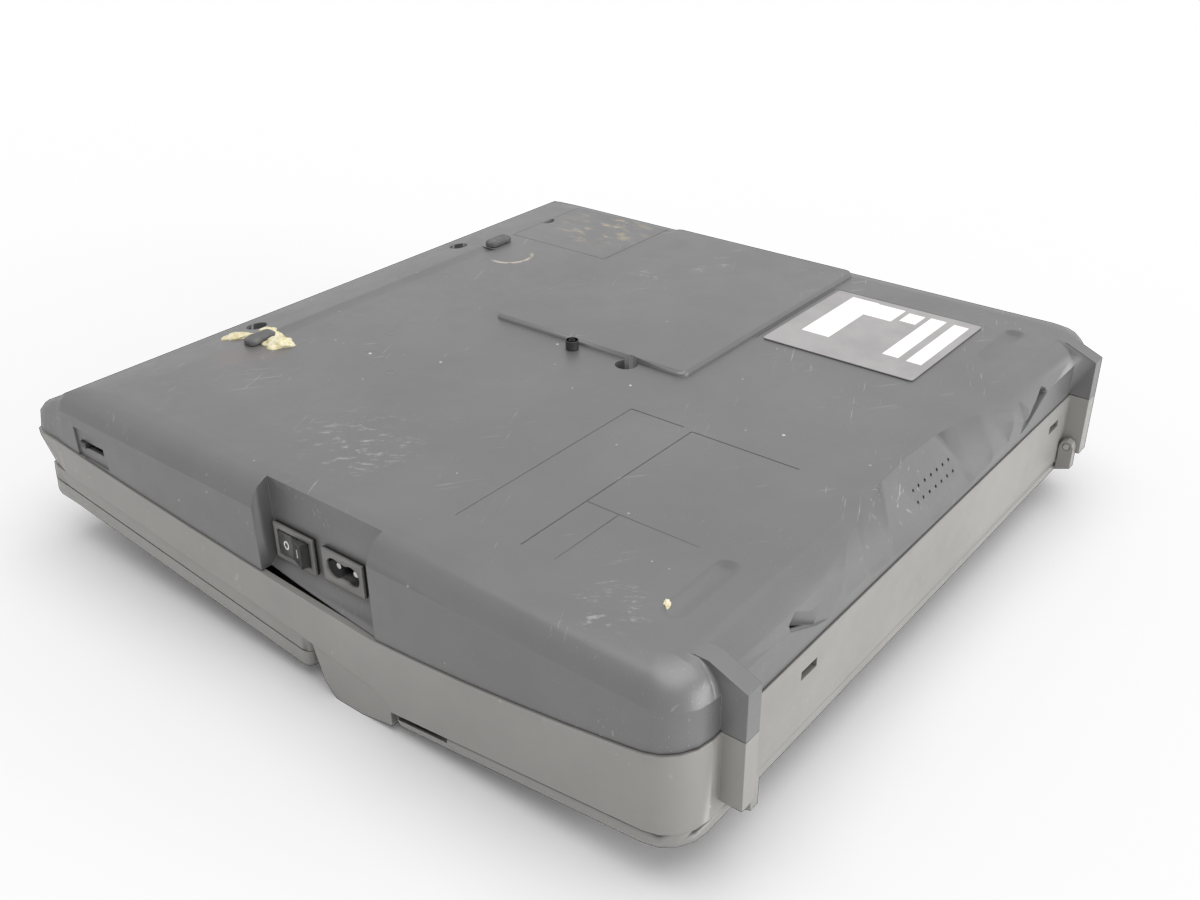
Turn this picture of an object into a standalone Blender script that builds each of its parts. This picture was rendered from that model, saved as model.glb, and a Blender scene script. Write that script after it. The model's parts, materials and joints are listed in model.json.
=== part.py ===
"""A portable electronic word processor, lying upside down on its closed lid.

The frame follows the photographed pose: +Z points up out of the underside, the
front edge of the machine faces -Y and the printer end faces +Y. The side with
the power switch is +X. The origin is under the middle of the whole machine, at
the level of its lowest point, the hinge covers. Lengths are in metres.
"""

import math

import bmesh
import bpy
from mathutils import Matrix, Vector

# Fits shared by every piece
CLEARANCE = 0.0003
RUNNING_GAP = 0.0006
OVERRUN = 0.006
WALL = 0.0025
CORNER_STEPS = 4
ROUND_SIDES = 16
FINE_SIDES = 24
SMALL_SIDES = 8
TINY_SIDES = 6

# Whole case
CASE_WIDTH = 0.310
CASE_DEPTH = 0.329
STAND_REACH = 0.008
UNDERSIDE_Z = 0.0775
CORNER_RADIUS = 0.014
CORNER_RADIUS_TOP = 0.007
LIP_STEP = 0.0007
SHOULDER_RUN = 0.012
SHOULDER_RISE = 0.0097
SHOULDER_SHARES = ((0.0, 0.0), (0.12, 0.42), (0.34, 0.75), (0.64, 0.94), (1.0, 1.0))
HALF_WIDTH = CASE_WIDTH / 2
FRONT_Y = -(CASE_DEPTH + STAND_REACH) / 2
REAR_Y = FRONT_Y + CASE_DEPTH
CREASE_Z = UNDERSIDE_Z - SHOULDER_RISE

# Bowed seam between the dark bottom case and the light top case
SEAM_FRONT_Z = 0.0532
SEAM_VALLEY_Z = 0.0380
SEAM_REAR_Z = 0.0545
SEAM_VALLEY_Y = 0.033
SEAM_FRONT_SAG = 0.0013
SEAM_REAR_SAG = 0.0024
SEAM_STEPS = 6

# Lower face of the top case, where the lid and the printer cover close on it
DECK_FRONT_Z = 0.0388
DECK_REAR_Z = 0.0212
LID_REAR_Y = -0.003
HUMP_MIDDLE_Y = 0.0322
HUMP_MIDDLE_Z = 0.0160
HUMP_REAR_Z = 0.0121
COVER_FRONT_Y = 0.0387
COVER_GAP_FRONT_Z = 0.0098
COVER_GAP_REAR_Z = 0.0240

# Outer faces below it
LID_THICKNESS = 0.0168
HUMP_NOSE_Y = 0.0040
HUMP_NOSE_Z = 0.0057
HUMP_FLAT_Y = 0.0095
HUMP_FLAT_RUN = 0.0130
COVER_FACE_FRONT_Z = 0.0030
COVER_FACE_REAR_Z = 0.0165

# Top case
BAND_TAPER = 0.0050
BAND_LIP = 0.0025
SNAP_NEAR_INSET = 0.0680
SNAP_FAR_INSET = 0.0405
SNAP_NEAR_X = HALF_WIDTH - SNAP_NEAR_INSET
SNAP_FAR_X = SNAP_FAR_INSET - HALF_WIDTH
SNAP_Z = 0.0452
SNAP_WIDTH = 0.0095
SNAP_HEIGHT = 0.0035

# Bottom case
DARK_FRONT_SETBACK = 0.0040
FRONT_DRAFT = 0.0035
STRIP_LENGTH = 0.0475
STRIP_Y = FRONT_Y + STRIP_LENGTH
STRIP_DROP = 0.0062
GROOVE_INSET = 0.0520
GROOVE_Y = FRONT_Y + GROOVE_INSET
GROOVE_WIDTH = 0.010
GROOVE_DEPTH = 0.0011
BULGE_FRONT_Y = -0.0545
BULGE_REAR_Y = 0.0478
BULGE_INNER_X = -0.0037
BULGE_INSET = 0.0115
BULGE_OUTER_X = BULGE_INSET - HALF_WIDTH
BULGE_RISE = 0.0022
BULGE_EDGE = 0.0012
BULGE_CORNER = 0.004
BULGE_WALL = 0.0020
SCOOP_EDGE_INSET = 0.0140
SCOOP_EDGE_Y = REAR_Y - SCOOP_EDGE_INSET
SCOOP_EDGE_BOW = 0.026
SCOOP_LOW_BOW = 0.0155
SCOOP_END_INSET = 0.0550
SCOOP_HALF_LENGTH = HALF_WIDTH - SCOOP_END_INSET
SCOOP_STEPS = 12
SCOOP_LINING = 0.0030
STAND_INSET = 0.0255
STAND_INNER_X = HALF_WIDTH - STAND_INSET
STAND_THICKNESS = 0.007
STAND_ROOT_INSET = 0.0105
STAND_TOP_INSET = 0.0053
STAND_ROOT_Y = REAR_Y - STAND_ROOT_INSET
STAND_TOP_Y = REAR_Y - STAND_TOP_INSET
STAND_TIP_Z = 0.0715
STAND_FOOT_Z = 0.0285

# Screw wells and screws
WELL_RADIUS = 0.0047
WELL_FLOOR_Z = 0.0535
WELL_SIDE_INSET = 0.0914
WELL_FRONT_INSET = 0.0340
WELL_FRONT_X = HALF_WIDTH - WELL_SIDE_INSET
WELL_FRONT_Y = FRONT_Y + WELL_FRONT_INSET
WELL_MIDDLE_X = -0.0005
WELL_MIDDLE_Y = 0.0215
SCREW_HEAD_RADIUS = 0.0032
SCREW_HEAD_HEIGHT = 0.0024
SCREW_SHANK_RADIUS = 0.0014
SCREW_LENGTH = 0.0080
SCREW_HOLE_RADIUS = 0.0019
SCREW_CROSS_WIDTH = 0.0008
SCREW_CROSS_LENGTH = 0.0032
SCREW_CROSS_DEPTH = 0.0010
POST_RADIUS = 0.0045

# Feet, label and rear foot recesses
FOOT_SIDE_INSET = 0.0800
FOOT_FRONT_INSET = 0.0512
FOOT_X = HALF_WIDTH - FOOT_SIDE_INSET
FOOT_Y = FRONT_Y + FOOT_FRONT_INSET
FOOT_LENGTH = 0.0140
FOOT_WIDTH = 0.0070
FOOT_HEIGHT = 0.0026
GROOVE_FOOT_GAP = 0.0010
GROOVE_HALF_LENGTH = FOOT_X - FOOT_LENGTH / 2 - GROOVE_FOOT_GAP
BOSS_X = 0.0010
BOSS_Y = -0.0058
BOSS_RADIUS = 0.0028
BOSS_HEIGHT = 0.0038
BOSS_HOLE_RADIUS = 0.0011
BOSS_HOLE_DEPTH = 0.0020
LABEL_SIDE_INSET = 0.0665
LABEL_REAR_INSET = 0.0740
LABEL_X = LABEL_SIDE_INSET - HALF_WIDTH
LABEL_Y = REAR_Y - LABEL_REAR_INSET
LABEL_WIDTH = 0.0660
LABEL_LENGTH = 0.0690
LABEL_THICKNESS = 0.0004
LABEL_CORNER = 0.0015
RECESS_SIDE_INSET = 0.0450
RECESS_REAR_INSET = 0.0260
RECESS_X = HALF_WIDTH - RECESS_SIDE_INSET
RECESS_Y = REAR_Y - RECESS_REAR_INSET
RECESS_LENGTH = 0.0360
RECESS_WIDTH = 0.0090
RECESS_DEPTH = 0.0014
RECESS_FLOOR_SHARE = 2 / 9
RECESS_RIM_SHARE = 5 / 11

# Backup battery compartment
BATTERY_SIDE_INSET = 0.0385
BATTERY_FRONT_INSET = 0.0780
BATTERY_CENTRE_X = BATTERY_SIDE_INSET - HALF_WIDTH
BATTERY_CENTRE_Y = FRONT_Y + BATTERY_FRONT_INSET
BATTERY_DOOR_WIDTH = 0.0540
BATTERY_DOOR_LENGTH = 0.0600
BATTERY_DOOR_THICKNESS = 0.0020
BATTERY_LEDGE = 0.0025
BATTERY_FLOOR_Z = 0.0602
BATTERY_NOTCH_WIDTH = 0.0080
BATTERY_NOTCH_LENGTH = 0.0040
CELL_RADIUS = 0.0071
CELL_LENGTH = 0.0500
CELL_COUNT = 3
CELL_CAP = 0.0010
CELL_PITCH_SHARE = 0.98

# Recess with the power switch and the mains inlet
SOCKET_FRONT_Y = -0.0240
SOCKET_REAR_Y = 0.0345
SOCKET_DEPTH = 0.0090
SOCKET_CHIN_Z = 0.0445
SOCKET_LIP_Z = 0.0405
SOCKET_LIP_DEPTH = 0.0040
SWITCH_Y = -0.0117
SWITCH_Z = 0.0525
SWITCH_LENGTH = 0.0210
SWITCH_HEIGHT = 0.0145
SWITCH_FLANGE = 0.0016
SWITCH_RIM = 0.0009
SWITCH_WALL = 0.0008
SWITCH_BODY_DEPTH = 0.0150
ROCKER_END_GAP = 0.0011
ROCKER_SIDE_GAP = 0.00035
ROCKER_PIVOT_DEPTH = 0.0030
ROCKER_REACH = 0.0046
ROCKER_DISH = 0.0012
ROCKER_HEEL = 0.0030
ROCKER_AXLE_RADIUS = 0.0007
ROCKER_TILT_DEG = 9.0
INLET_Y = 0.0137
INLET_Z = 0.0528
INLET_LENGTH = 0.0205
INLET_HEIGHT = 0.0130
INLET_FLANGE = 0.0016
INLET_BODY_DEPTH = 0.0140
INLET_CAVITY_DEPTH = 0.0110
INLET_LOBE_RADIUS = 0.0041
INLET_WAIST_SHARE = 1.6
PIN_PITCH = 0.0086
PIN_RADIUS = 0.0012
PIN_LENGTH = 0.0090

# Contrast slider
CONTRAST_INSET = 0.0413
CONTRAST_Y = FRONT_Y + CONTRAST_INSET
CONTRAST_Z = 0.0565
CONTRAST_PANEL_LENGTH = 0.0210
CONTRAST_PANEL_HEIGHT = 0.0130
CONTRAST_PANEL_DEPTH = 0.0008
CONTRAST_SLOT_LENGTH = 0.0150
CONTRAST_SLOT_HEIGHT = 0.0030
CONTRAST_KNOB_LENGTH = 0.0040
CONTRAST_BLOCK_DEPTH = 0.0070

# Disk drive
DRIVE_WIDTH = 0.0980
DRIVE_BOTTOM_Z = 0.0520
DRIVE_NECK_MARGIN = 0.0012
DRIVE_Y = -0.0033
BEZEL_WIDTH = 0.0960
BEZEL_HEIGHT = 0.0125
BEZEL_Z = 0.0598
BEZEL_THICKNESS = 0.0022
BEZEL_SETBACK = 0.0012
SLOT_WIDTH = 0.0900
SLOT_HEIGHT = 0.0050
SLOT_Z = 0.0622
SLOT_DEPTH = 0.0900
FLAP_THICKNESS = 0.0008
FLAP_GAP = 0.0005
EJECT_LENGTH = 0.0110
EJECT_HEIGHT = 0.0035
EJECT_Z = 0.0566
EJECT_Y = 0.0300
EJECT_PROUD = 0.0011
EJECT_TRAVEL = 0.0040
EJECT_DEPTH = 0.0050

# Lid
LID_BEZEL_THICKNESS = 0.0080
LID_SIDE_INSET = 0.0012
LID_FRONT_INSET = 0.0030
LID_REAR_CORNER = 0.004
LID_EDGE = 0.0030
SCREEN_WIDTH = 0.2150
SCREEN_LENGTH = 0.0900
SCREEN_OFFSET = 0.0800
SCREEN_THICKNESS = 0.0030
SCREEN_MARGIN = 0.0020
SCREEN_FRAME_BORDER = 0.0080
SCREEN_FRAME_DEPTH = 0.0012
HINGE_Y = 0.0200
HINGE_Z = 0.0093
BARREL_RADIUS = 0.0080
BARREL_INSET = 0.0430
BARREL_HALF_LENGTH = HALF_WIDTH - BARREL_INSET
HINGE_END_GAP = 0.0020
HINGE_COVER_STEP = 0.0025
HINGE_PIN_RADIUS = 0.0025
HINGE_PIN_REACH = 0.0120
LATCH_WIDTH = 0.0240
LATCH_DEPTH = 0.0035
LATCH_HEIGHT = 0.0040
LATCH_PROUD = 0.0008
LATCH_TRAVEL = 0.0030

# Keyboard
KEY_PITCH = 0.0182
KEY_BASE = 0.0160
KEY_TOP = 0.0122
KEY_HEIGHT = 0.0070
KEY_ROWS_INSET = 0.0540
KEY_ROWS_Y = FRONT_Y + KEY_ROWS_INSET
KEY_ROW_COUNTS = (1, 13, 14, 14, 14, 12)
SPACE_BAR_PITCHES = 6
SPACE_ROW_SIDES = 4
KEYBOARD_MARGIN = 0.0030
KEY_PLATE_SIDE = 0.0055
KEY_PLATE_END = 0.0025
KEY_PLATE_THICKNESS = 0.0016
KEY_SINK = 0.0010
KEY_STEM = 0.0034
KEY_RAIL_WIDTH = 0.0040
KEY_RAIL_THICKNESS = 0.0012
KEY_STEM_GAP = 0.0002
KEY_TRAVEL = 0.0030
KEY_STANDOFF_RADIUS = 0.0025
KEY_ROW_NAMES = (
    "keys_space", "keys_lower", "keys_home", "keys_upper", "keys_numbers", "keys_function",
)

# Boards
BOARD_THICKNESS = 0.0016
BOARD_Z = 0.0632
MAIN_BOARD_SIDE_INSET = 0.1210
MAIN_BOARD_FRONT_INSET = 0.0825
MAIN_BOARD_X = HALF_WIDTH - MAIN_BOARD_SIDE_INSET
MAIN_BOARD_Y = FRONT_Y + MAIN_BOARD_FRONT_INSET
MAIN_BOARD_WIDTH = 0.1900
MAIN_BOARD_LENGTH = 0.0560
CHIP_HEIGHT = 0.0028
CHIP_SIDES = (0.0280, 0.0280, 0.0200, 0.0240)
CHIP_SHARES = ((-0.34, 0.05), (-0.05, -0.1), (0.2, 0.18), (0.38, -0.15))
POWER_BOARD_INSET = 0.0800
POWER_BOARD_X = HALF_WIDTH - POWER_BOARD_INSET
POWER_BOARD_Y = 0.0100
POWER_BOARD_WIDTH = 0.1000
POWER_BOARD_LENGTH = 0.0760
TRANSFORMER_SIDE = 0.0300
TRANSFORMER_HEIGHT = 0.0150
CAPACITOR_RADIUS = 0.0060
CAPACITOR_HEIGHT = 0.0150
CAPACITOR_COUNT = 3
CABLE_WIDTH = 0.0300
CABLE_THICKNESS = 0.0004
BOARD_POST_RADIUS = 0.0030
BOARD_POST_INSET = 0.0050
SPEAKER_LENGTH = 0.0300
SPEAKER_WIDTH = 0.0180
SPEAKER_DEPTH = 0.0045
SPEAKER_X = -0.0090
SPEAKER_HOLE_RADIUS = 0.0007
SPEAKER_HOLE_PITCH = 0.0046
SPEAKER_HOLE_COLUMNS = 7
SPEAKER_HOLE_ROWS = 2

# Printer
BAY_SIDE_INSET = 0.0170
BAY_FRONT_INSET = 0.0173
BAY_REAR_INSET = 0.0125
BAY_HALF_WIDTH = HALF_WIDTH - BAY_SIDE_INSET
BAY_FRONT_Y = COVER_FRONT_Y + BAY_FRONT_INSET
BAY_REAR_Y = REAR_Y - BAY_REAR_INSET
CHASSIS_SIDE_INSET = 0.0260
CHASSIS_HALF_WIDTH = HALF_WIDTH - CHASSIS_SIDE_INSET
CHASSIS_REAR_INSET = 0.0205
CHASSIS_REAR_Y = REAR_Y - CHASSIS_REAR_INSET
CHASSIS_SIDE_LENGTH = 0.0620
CHASSIS_SIDE_FRONT_Y = CHASSIS_REAR_Y - CHASSIS_SIDE_LENGTH
CHASSIS_BASE_STEP = 0.0120
CHASSIS_BASE_REAR_Y = CHASSIS_REAR_Y - CHASSIS_BASE_STEP
CHASSIS_BASE_LENGTH = 0.0690
CHASSIS_FRONT_Y = CHASSIS_BASE_REAR_Y - CHASSIS_BASE_LENGTH
CHASSIS_SHEET = 0.0012
CHASSIS_LOW_Z = 0.0310
PLATEN_INSET = 0.0425
PLATEN_Y = REAR_Y - PLATEN_INSET
PLATEN_Z = 0.0440
PLATEN_RADIUS = 0.0090
PLATEN_END_INSET = 0.0470
PLATEN_HALF_LENGTH = HALF_WIDTH - PLATEN_END_INSET
PLATEN_SHAFT_RADIUS = 0.0030
PAPER_GUIDE_GAP = 0.0012
PAPER_GUIDE_SHEET = 0.0008
PAPER_GUIDE_START_DEG = -30.0
PAPER_GUIDE_END_DEG = 80.0
GUIDE_PLATEN_DISTANCE = 0.0320
GUIDE_Y = PLATEN_Y - GUIDE_PLATEN_DISTANCE
GUIDE_Z = 0.0430
GUIDE_RADIUS = 0.0040
CARRIAGE_WIDTH = 0.0340
CARRIAGE_FRONT_REACH = 0.0105
CARRIAGE_REAR_REACH = 0.0125
CARRIAGE_FRONT_Y = GUIDE_Y - CARRIAGE_FRONT_REACH
CARRIAGE_REAR_Y = GUIDE_Y + CARRIAGE_REAR_REACH
CARRIAGE_LOW_Z = 0.0290
CARRIAGE_HIGH_Z = 0.0520
HEAD_WIDTH = 0.0120
HEAD_HEIGHT = 0.0140
HEAD_GAP = 0.0008
CASSETTE_WIDTH = 0.0640
CASSETTE_LENGTH = 0.0380
CASSETTE_THICKNESS = 0.0090
CASSETTE_SHIFT = 0.0010
CASSETTE_Y = GUIDE_Y - CASSETTE_SHIFT
SPOOL_RADIUS = 0.0030
SPOOL_HEIGHT = 0.0040
SPOOL_SPACING = 0.0100
BELT_GUIDE_DISTANCE = 0.0205
BELT_Y = GUIDE_Y - BELT_GUIDE_DISTANCE
BELT_Z = 0.0450
BELT_WIDTH = 0.0040
BELT_THICKNESS = 0.0008
PULLEY_RADIUS = 0.0055
PULLEY_INSET = 0.0400
PULLEY_X = HALF_WIDTH - PULLEY_INSET
PULLEY_FLANGE = 0.0010
PULLEY_FLANGE_THICKNESS = 0.0005
CLIP_HEIGHT = 0.0080
CLIP_WIDTH = 0.0120
MOTOR_RADIUS = 0.0105
MOTOR_LENGTH = 0.0200
MOTOR_SHAFT_RADIUS = 0.0010
PULLEY_PIN_RADIUS = 0.0010
GEAR_MODULE = 0.0010
PLATEN_TEETH = 24
PINION_TEETH = 10
GEAR_WIDTH = 0.0040
GEAR_INSET = 0.0235
GEAR_X = HALF_WIDTH - GEAR_INSET
FEED_MOTOR_LENGTH = 0.0150
FEED_ANGLE_DEG = 150.0
TOOTH_SHARE = 0.38
TOOTH_TIP_SHARE = 0.55
TOOTH_HEIGHT_SHARE = 0.85
TOOTH_DEPTH_SHARE = 1.15

# Printer cover
COVER_SIDE_INSET = 0.0006
COVER_EDGE = 0.0030
COVER_PIVOT_REACH = 0.0035
COVER_PIVOT_Y = REAR_Y + COVER_PIVOT_REACH
COVER_PIVOT_Z = 0.0320
COVER_PIN_RADIUS = 0.0014
COVER_EAR_THICKNESS = 0.0040
COVER_EAR_RADIUS = 0.0030
NOTCH_FRONT_Y = 0.0415
NOTCH_REAR_Y = 0.0655
NOTCH_HEIGHT = 0.0028
NOTCH_DEPTH = 0.0060


def material(name, colour, roughness, metallic=0.0):
    """Return a Principled material in one plain colour."""
    made = bpy.data.materials.new(name)
    made.use_nodes = True
    shader = made.node_tree.nodes["Principled BSDF"]
    shader.inputs["Base Color"].default_value = (*colour, 1.0)
    shader.inputs["Roughness"].default_value = roughness
    shader.inputs["Metallic"].default_value = metallic
    return made


def finish(name, mesh_data, surface):
    """Close a bmesh into a named object with outward faces and one material."""
    bmesh.ops.recalc_face_normals(mesh_data, faces=mesh_data.faces)
    mesh = bpy.data.meshes.new(name)
    mesh_data.to_mesh(mesh)
    mesh_data.free()
    body = bpy.data.objects.new(name, mesh)
    bpy.context.collection.objects.link(body)
    if surface:
        mesh.materials.append(surface)
    return body


def loft(name, rings, surface=None):
    """Skin a stack of point rings of equal length and cap both ends."""
    build = bmesh.new()
    levels = [[build.verts.new(point) for point in ring] for ring in rings]
    count = len(levels[0])
    for low, high in zip(levels, levels[1:]):
        for index in range(count):
            following = (index + 1) % count
            build.faces.new((low[index], low[following], high[following], high[index]))
    build.faces.new(levels[0])
    build.faces.new(levels[-1])
    bmesh.ops.triangulate(build, faces=build.faces)
    return finish(name, build, surface)


def sleeve(name, rings, surface=None):
    """Skin a closed loop of point rings, as round a piece with a bore."""
    build = bmesh.new()
    levels = [[build.verts.new(point) for point in ring] for ring in rings]
    for low, high in zip(levels, levels[1:] + levels[:1]):
        for index, corner in enumerate(low):
            following = (index + 1) % len(low)
            build.faces.new((corner, low[following], high[following], high[index]))
    bmesh.ops.triangulate(build, faces=build.faces)
    return finish(name, build, surface)


def prism(name, axis, outline, low, high, surface=None):
    """Extrude an outline along axis 'x', 'y' or 'z' from low to high."""
    def place(point, along):
        first, second = point
        if axis == "x":
            return (along, first, second)
        if axis == "y":
            return (first, along, second)
        return (first, second, along)

    rings = [[place(point, along) for point in outline] for along in (low, high)]
    return loft(name, rings, surface)


def rectangle(first_low, first_high, second_low, second_high):
    """Return the corners of a rectangle in a plane."""
    return [
        (first_low, second_low),
        (first_high, second_low),
        (first_high, second_high),
        (first_low, second_high),
    ]


def circle(first, second, radius, sides=ROUND_SIDES, turn=0.0):
    """Return points round a circle in a plane."""
    angles = [turn + math.tau * step / sides for step in range(sides)]
    return [(first + radius * math.cos(angle), second + radius * math.sin(angle)) for angle in angles]


def block(name, x_range, y_range, z_range, surface=None):
    """Return a box between three pairs of limits."""
    return prism(name, "z", rectangle(*x_range, *y_range), *z_range, surface)


def around(centre, size):
    """Return the limits of a span with this centre and size."""
    return (centre - size / 2, centre + size / 2)


def rounded_ring(x_range, y_range, radius, z, front_radius=None):
    """Return a level ring of points round a rectangle with rounded corners."""
    x_low, x_high = x_range
    y_low, y_high = y_range
    front = radius if front_radius is None else front_radius
    corners = (
        (x_high - radius, y_high - radius, radius, 0),
        (x_low + radius, y_high - radius, radius, 1),
        (x_low + front, y_low + front, front, 2),
        (x_high - front, y_low + front, front, 3),
    )
    ring = []
    for centre_x, centre_y, reach, quarter in corners:
        for step in range(CORNER_STEPS + 1):
            angle = math.pi / 2 * (quarter + step / CORNER_STEPS)
            ring.append((centre_x + reach * math.cos(angle), centre_y + reach * math.sin(angle), z))
    return ring


def sloped_ring(x_range, y_range, radius, height, front_radius=None):
    """Return a rounded ring whose height is a function of y."""
    ring = rounded_ring(x_range, y_range, radius, 0.0, front_radius)
    return [(x, y, height(y)) for x, y, _ in ring]


def guide(body):
    """Keep a helper body out of the model."""
    body.hide_render = True
    body.display_type = "WIRE"
    return body


def combine(target, operation, helpers):
    """Add one exact Boolean for each helper body."""
    for helper in helpers:
        guide(helper)
        step = target.modifiers.new(helper.name, "BOOLEAN")
        step.operation = operation
        step.solver = "EXACT"
        step.object = helper
    return target


def cut(target, *helpers):
    """Take helper bodies away from a body."""
    return combine(target, "DIFFERENCE", helpers)


def fuse(target, *helpers):
    """Join helper bodies to a body."""
    return combine(target, "UNION", helpers)


def group(name, bodies, surface):
    """Put separate solids into one named object."""
    build = bmesh.new()
    for body in bodies:
        build.from_mesh(body.data)
        bpy.data.objects.remove(body)
    return finish(name, build, surface)


def pivot_at(body, point):
    """Move an object's origin to its joint without moving its mesh."""
    place = Vector(point)
    body.data.transform(Matrix.Translation(-place))
    body.location = place
    return body


def between(share, low, high):
    """Mix two values."""
    return low + (high - low) * share


def seam_z(y):
    """Height of the bowed seam between the two halves of the case."""
    if y < SEAM_VALLEY_Y:
        share = (y - FRONT_Y) / (SEAM_VALLEY_Y - FRONT_Y)
        return between(share, SEAM_FRONT_Z, SEAM_VALLEY_Z) - SEAM_FRONT_SAG * 4 * share * (1 - share)
    share = (y - SEAM_VALLEY_Y) / (REAR_Y - SEAM_VALLEY_Y)
    return between(share, SEAM_VALLEY_Z, SEAM_REAR_Z) - SEAM_REAR_SAG * 4 * share * (1 - share)


def seam_line(shift):
    """Return points along the seam from in front of the case to behind it."""
    stations = [between(step / SEAM_STEPS, FRONT_Y, SEAM_VALLEY_Y) for step in range(SEAM_STEPS)]
    stations += [between(step / SEAM_STEPS, SEAM_VALLEY_Y, REAR_Y) for step in range(SEAM_STEPS + 1)]
    line = [(y, seam_z(y) + shift) for y in stations]
    reach = OVERRUN + STAND_REACH
    return [(FRONT_Y - reach, line[0][1]), *line, (REAR_Y + reach, line[-1][1])]


def deck_z(y):
    """Height of the sloped deck under the lid."""
    return between((y - FRONT_Y) / (LID_REAR_Y - FRONT_Y), DECK_FRONT_Z, DECK_REAR_Z)


def cover_gap_z(y):
    """Height of the top case's lower edge round the printer."""
    return between((y - COVER_FRONT_Y) / (REAR_Y - COVER_FRONT_Y), COVER_GAP_FRONT_Z, COVER_GAP_REAR_Z)


def cover_face_z(y):
    """Height of the printer cover's outer face."""
    return between((y - COVER_FRONT_Y) / (REAR_Y - COVER_FRONT_Y), COVER_FACE_FRONT_Z, COVER_FACE_REAR_Z)


def deck_line(shift):
    """Return the lower edge of the top case, front to back, with the hinge step."""
    reach = OVERRUN + STAND_REACH
    return [
        (FRONT_Y - reach, deck_z(FRONT_Y - reach) + shift),
        (LID_REAR_Y, DECK_REAR_Z + shift),
        (HUMP_MIDDLE_Y, HUMP_MIDDLE_Z + shift),
        (COVER_FRONT_Y - shift, HUMP_REAR_Z + shift),
        (COVER_FRONT_Y - shift, COVER_GAP_FRONT_Z + shift),
        (REAR_Y + reach, cover_gap_z(REAR_Y + reach) + shift),
    ]


POST_TOP_Z = WELL_FLOOR_Z - WALL - CLEARANCE
COVER_PIN_END = STAND_INNER_X + STAND_THICKNESS - STAND_THICKNESS / 6
DRIVE_NECK_X = -HALF_WIDTH + BEZEL_SETBACK + BEZEL_THICKNESS + CLEARANCE
DRIVE_BODY_X = BULGE_OUTER_X + BULGE_WALL + CLEARANCE
EJECT_FACE_X = -HALF_WIDTH + BEZEL_SETBACK - EJECT_PROUD
DECK_TILT = math.atan2(DECK_FRONT_Z - DECK_REAR_Z, LID_REAR_Y - FRONT_Y)
LID_LENGTH = (LID_REAR_Y - FRONT_Y - LID_FRONT_INSET) / math.cos(DECK_TILT)
KEY_FIELD_HALF_WIDTH = max(KEY_ROW_COUNTS) * KEY_PITCH / 2
KEY_FIELD_FRONT = KEY_ROWS_Y - LID_REAR_Y - KEY_PITCH / 2
KEY_FIELD_REAR = KEY_FIELD_FRONT + len(KEY_ROW_COUNTS) * KEY_PITCH
KEY_PLATE_LOW = KEY_SINK + KEY_HEIGHT + KEY_TRAVEL + CLEARANCE
PINION_DISTANCE = GEAR_MODULE * (PLATEN_TEETH + PINION_TEETH) / 2 + CLEARANCE
PINION_Y = PLATEN_Y + PINION_DISTANCE * math.cos(math.radians(FEED_ANGLE_DEG))
PINION_Z = PLATEN_Z + PINION_DISTANCE * math.sin(math.radians(FEED_ANGLE_DEG))
DRIVE_INNER_X = WELL_MIDDLE_X - WELL_RADIUS - WALL - 2 * CLEARANCE
SIDES = (("right", 1), ("left", -1))
WELLS = (
    (WELL_FRONT_X, WELL_FRONT_Y),
    (-WELL_FRONT_X, WELL_FRONT_Y),
    (WELL_MIDDLE_X, WELL_MIDDLE_Y),
)
BENCH_Z = -OVERRUN
SKY_Z = UNDERSIDE_Z + BULGE_RISE + OVERRUN


def board_posts(name, centre_x, centre_y, width, length, top_z):
    """Return four posts that carry a board by its corners."""
    posts = []
    for side in (-1, 1):
        for end in (-1, 1):
            x = centre_x + side * (width / 2 - BOARD_POST_INSET)
            y = centre_y + end * (length / 2 - BOARD_POST_INSET)
            outline = circle(x, y, BOARD_POST_RADIUS, SMALL_SIDES)
            posts.append(prism(name, "z", outline, BOARD_Z + BOARD_THICKNESS + CLEARANCE, top_z))
    return posts


def scoop(name, shift):
    """Return the hollow along the rear shoulder, moved forward by a wall."""
    rings = []
    for step in range(SCOOP_STEPS + 1):
        share = between(step / SCOOP_STEPS, -1.0, 1.0)
        high = Vector((SCOOP_EDGE_Y + SCOOP_EDGE_BOW * share * share - shift, UNDERSIDE_Z))
        low = Vector((REAR_Y - shift, SEAM_REAR_Z + SCOOP_LOW_BOW * share * share))
        fall = (low - high).normalized() * OVERRUN
        start = high - fall
        end = low + fall
        back = REAR_Y + STAND_REACH + SCOOP_EDGE_BOW
        x = share * SCOOP_HALF_LENGTH
        rings.append([(x, *start), (x, *end), (x, back, end.y), (x, back, start.y)])
    return loft(name, rings)


def scoop_frame(x):
    """Return the middle point, downhill direction and outward normal of the scoop."""
    share = x / SCOOP_HALF_LENGTH
    high = Vector((x, SCOOP_EDGE_Y + SCOOP_EDGE_BOW * share * share, UNDERSIDE_Z))
    low = Vector((x, REAR_Y, SEAM_REAR_Z + SCOOP_LOW_BOW * share * share))
    fall = (low - high).normalized()
    outward = Vector((0, -fall.z, fall.y))
    return (high + low) / 2, fall, outward


def aimed_rod(name, start, direction, length, radius, sides, surface=None):
    """Return a round bar from a point along any direction."""
    build = bmesh.new()
    bmesh.ops.create_cone(build, cap_ends=True, segments=sides, radius1=radius, radius2=radius, depth=length)
    turn = direction.to_track_quat("Z", "Y").to_matrix().to_4x4()
    middle = Vector(start) + direction.normalized() * length / 2
    build.transform(Matrix.Translation(middle) @ turn)
    return finish(name, build, surface)


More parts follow.
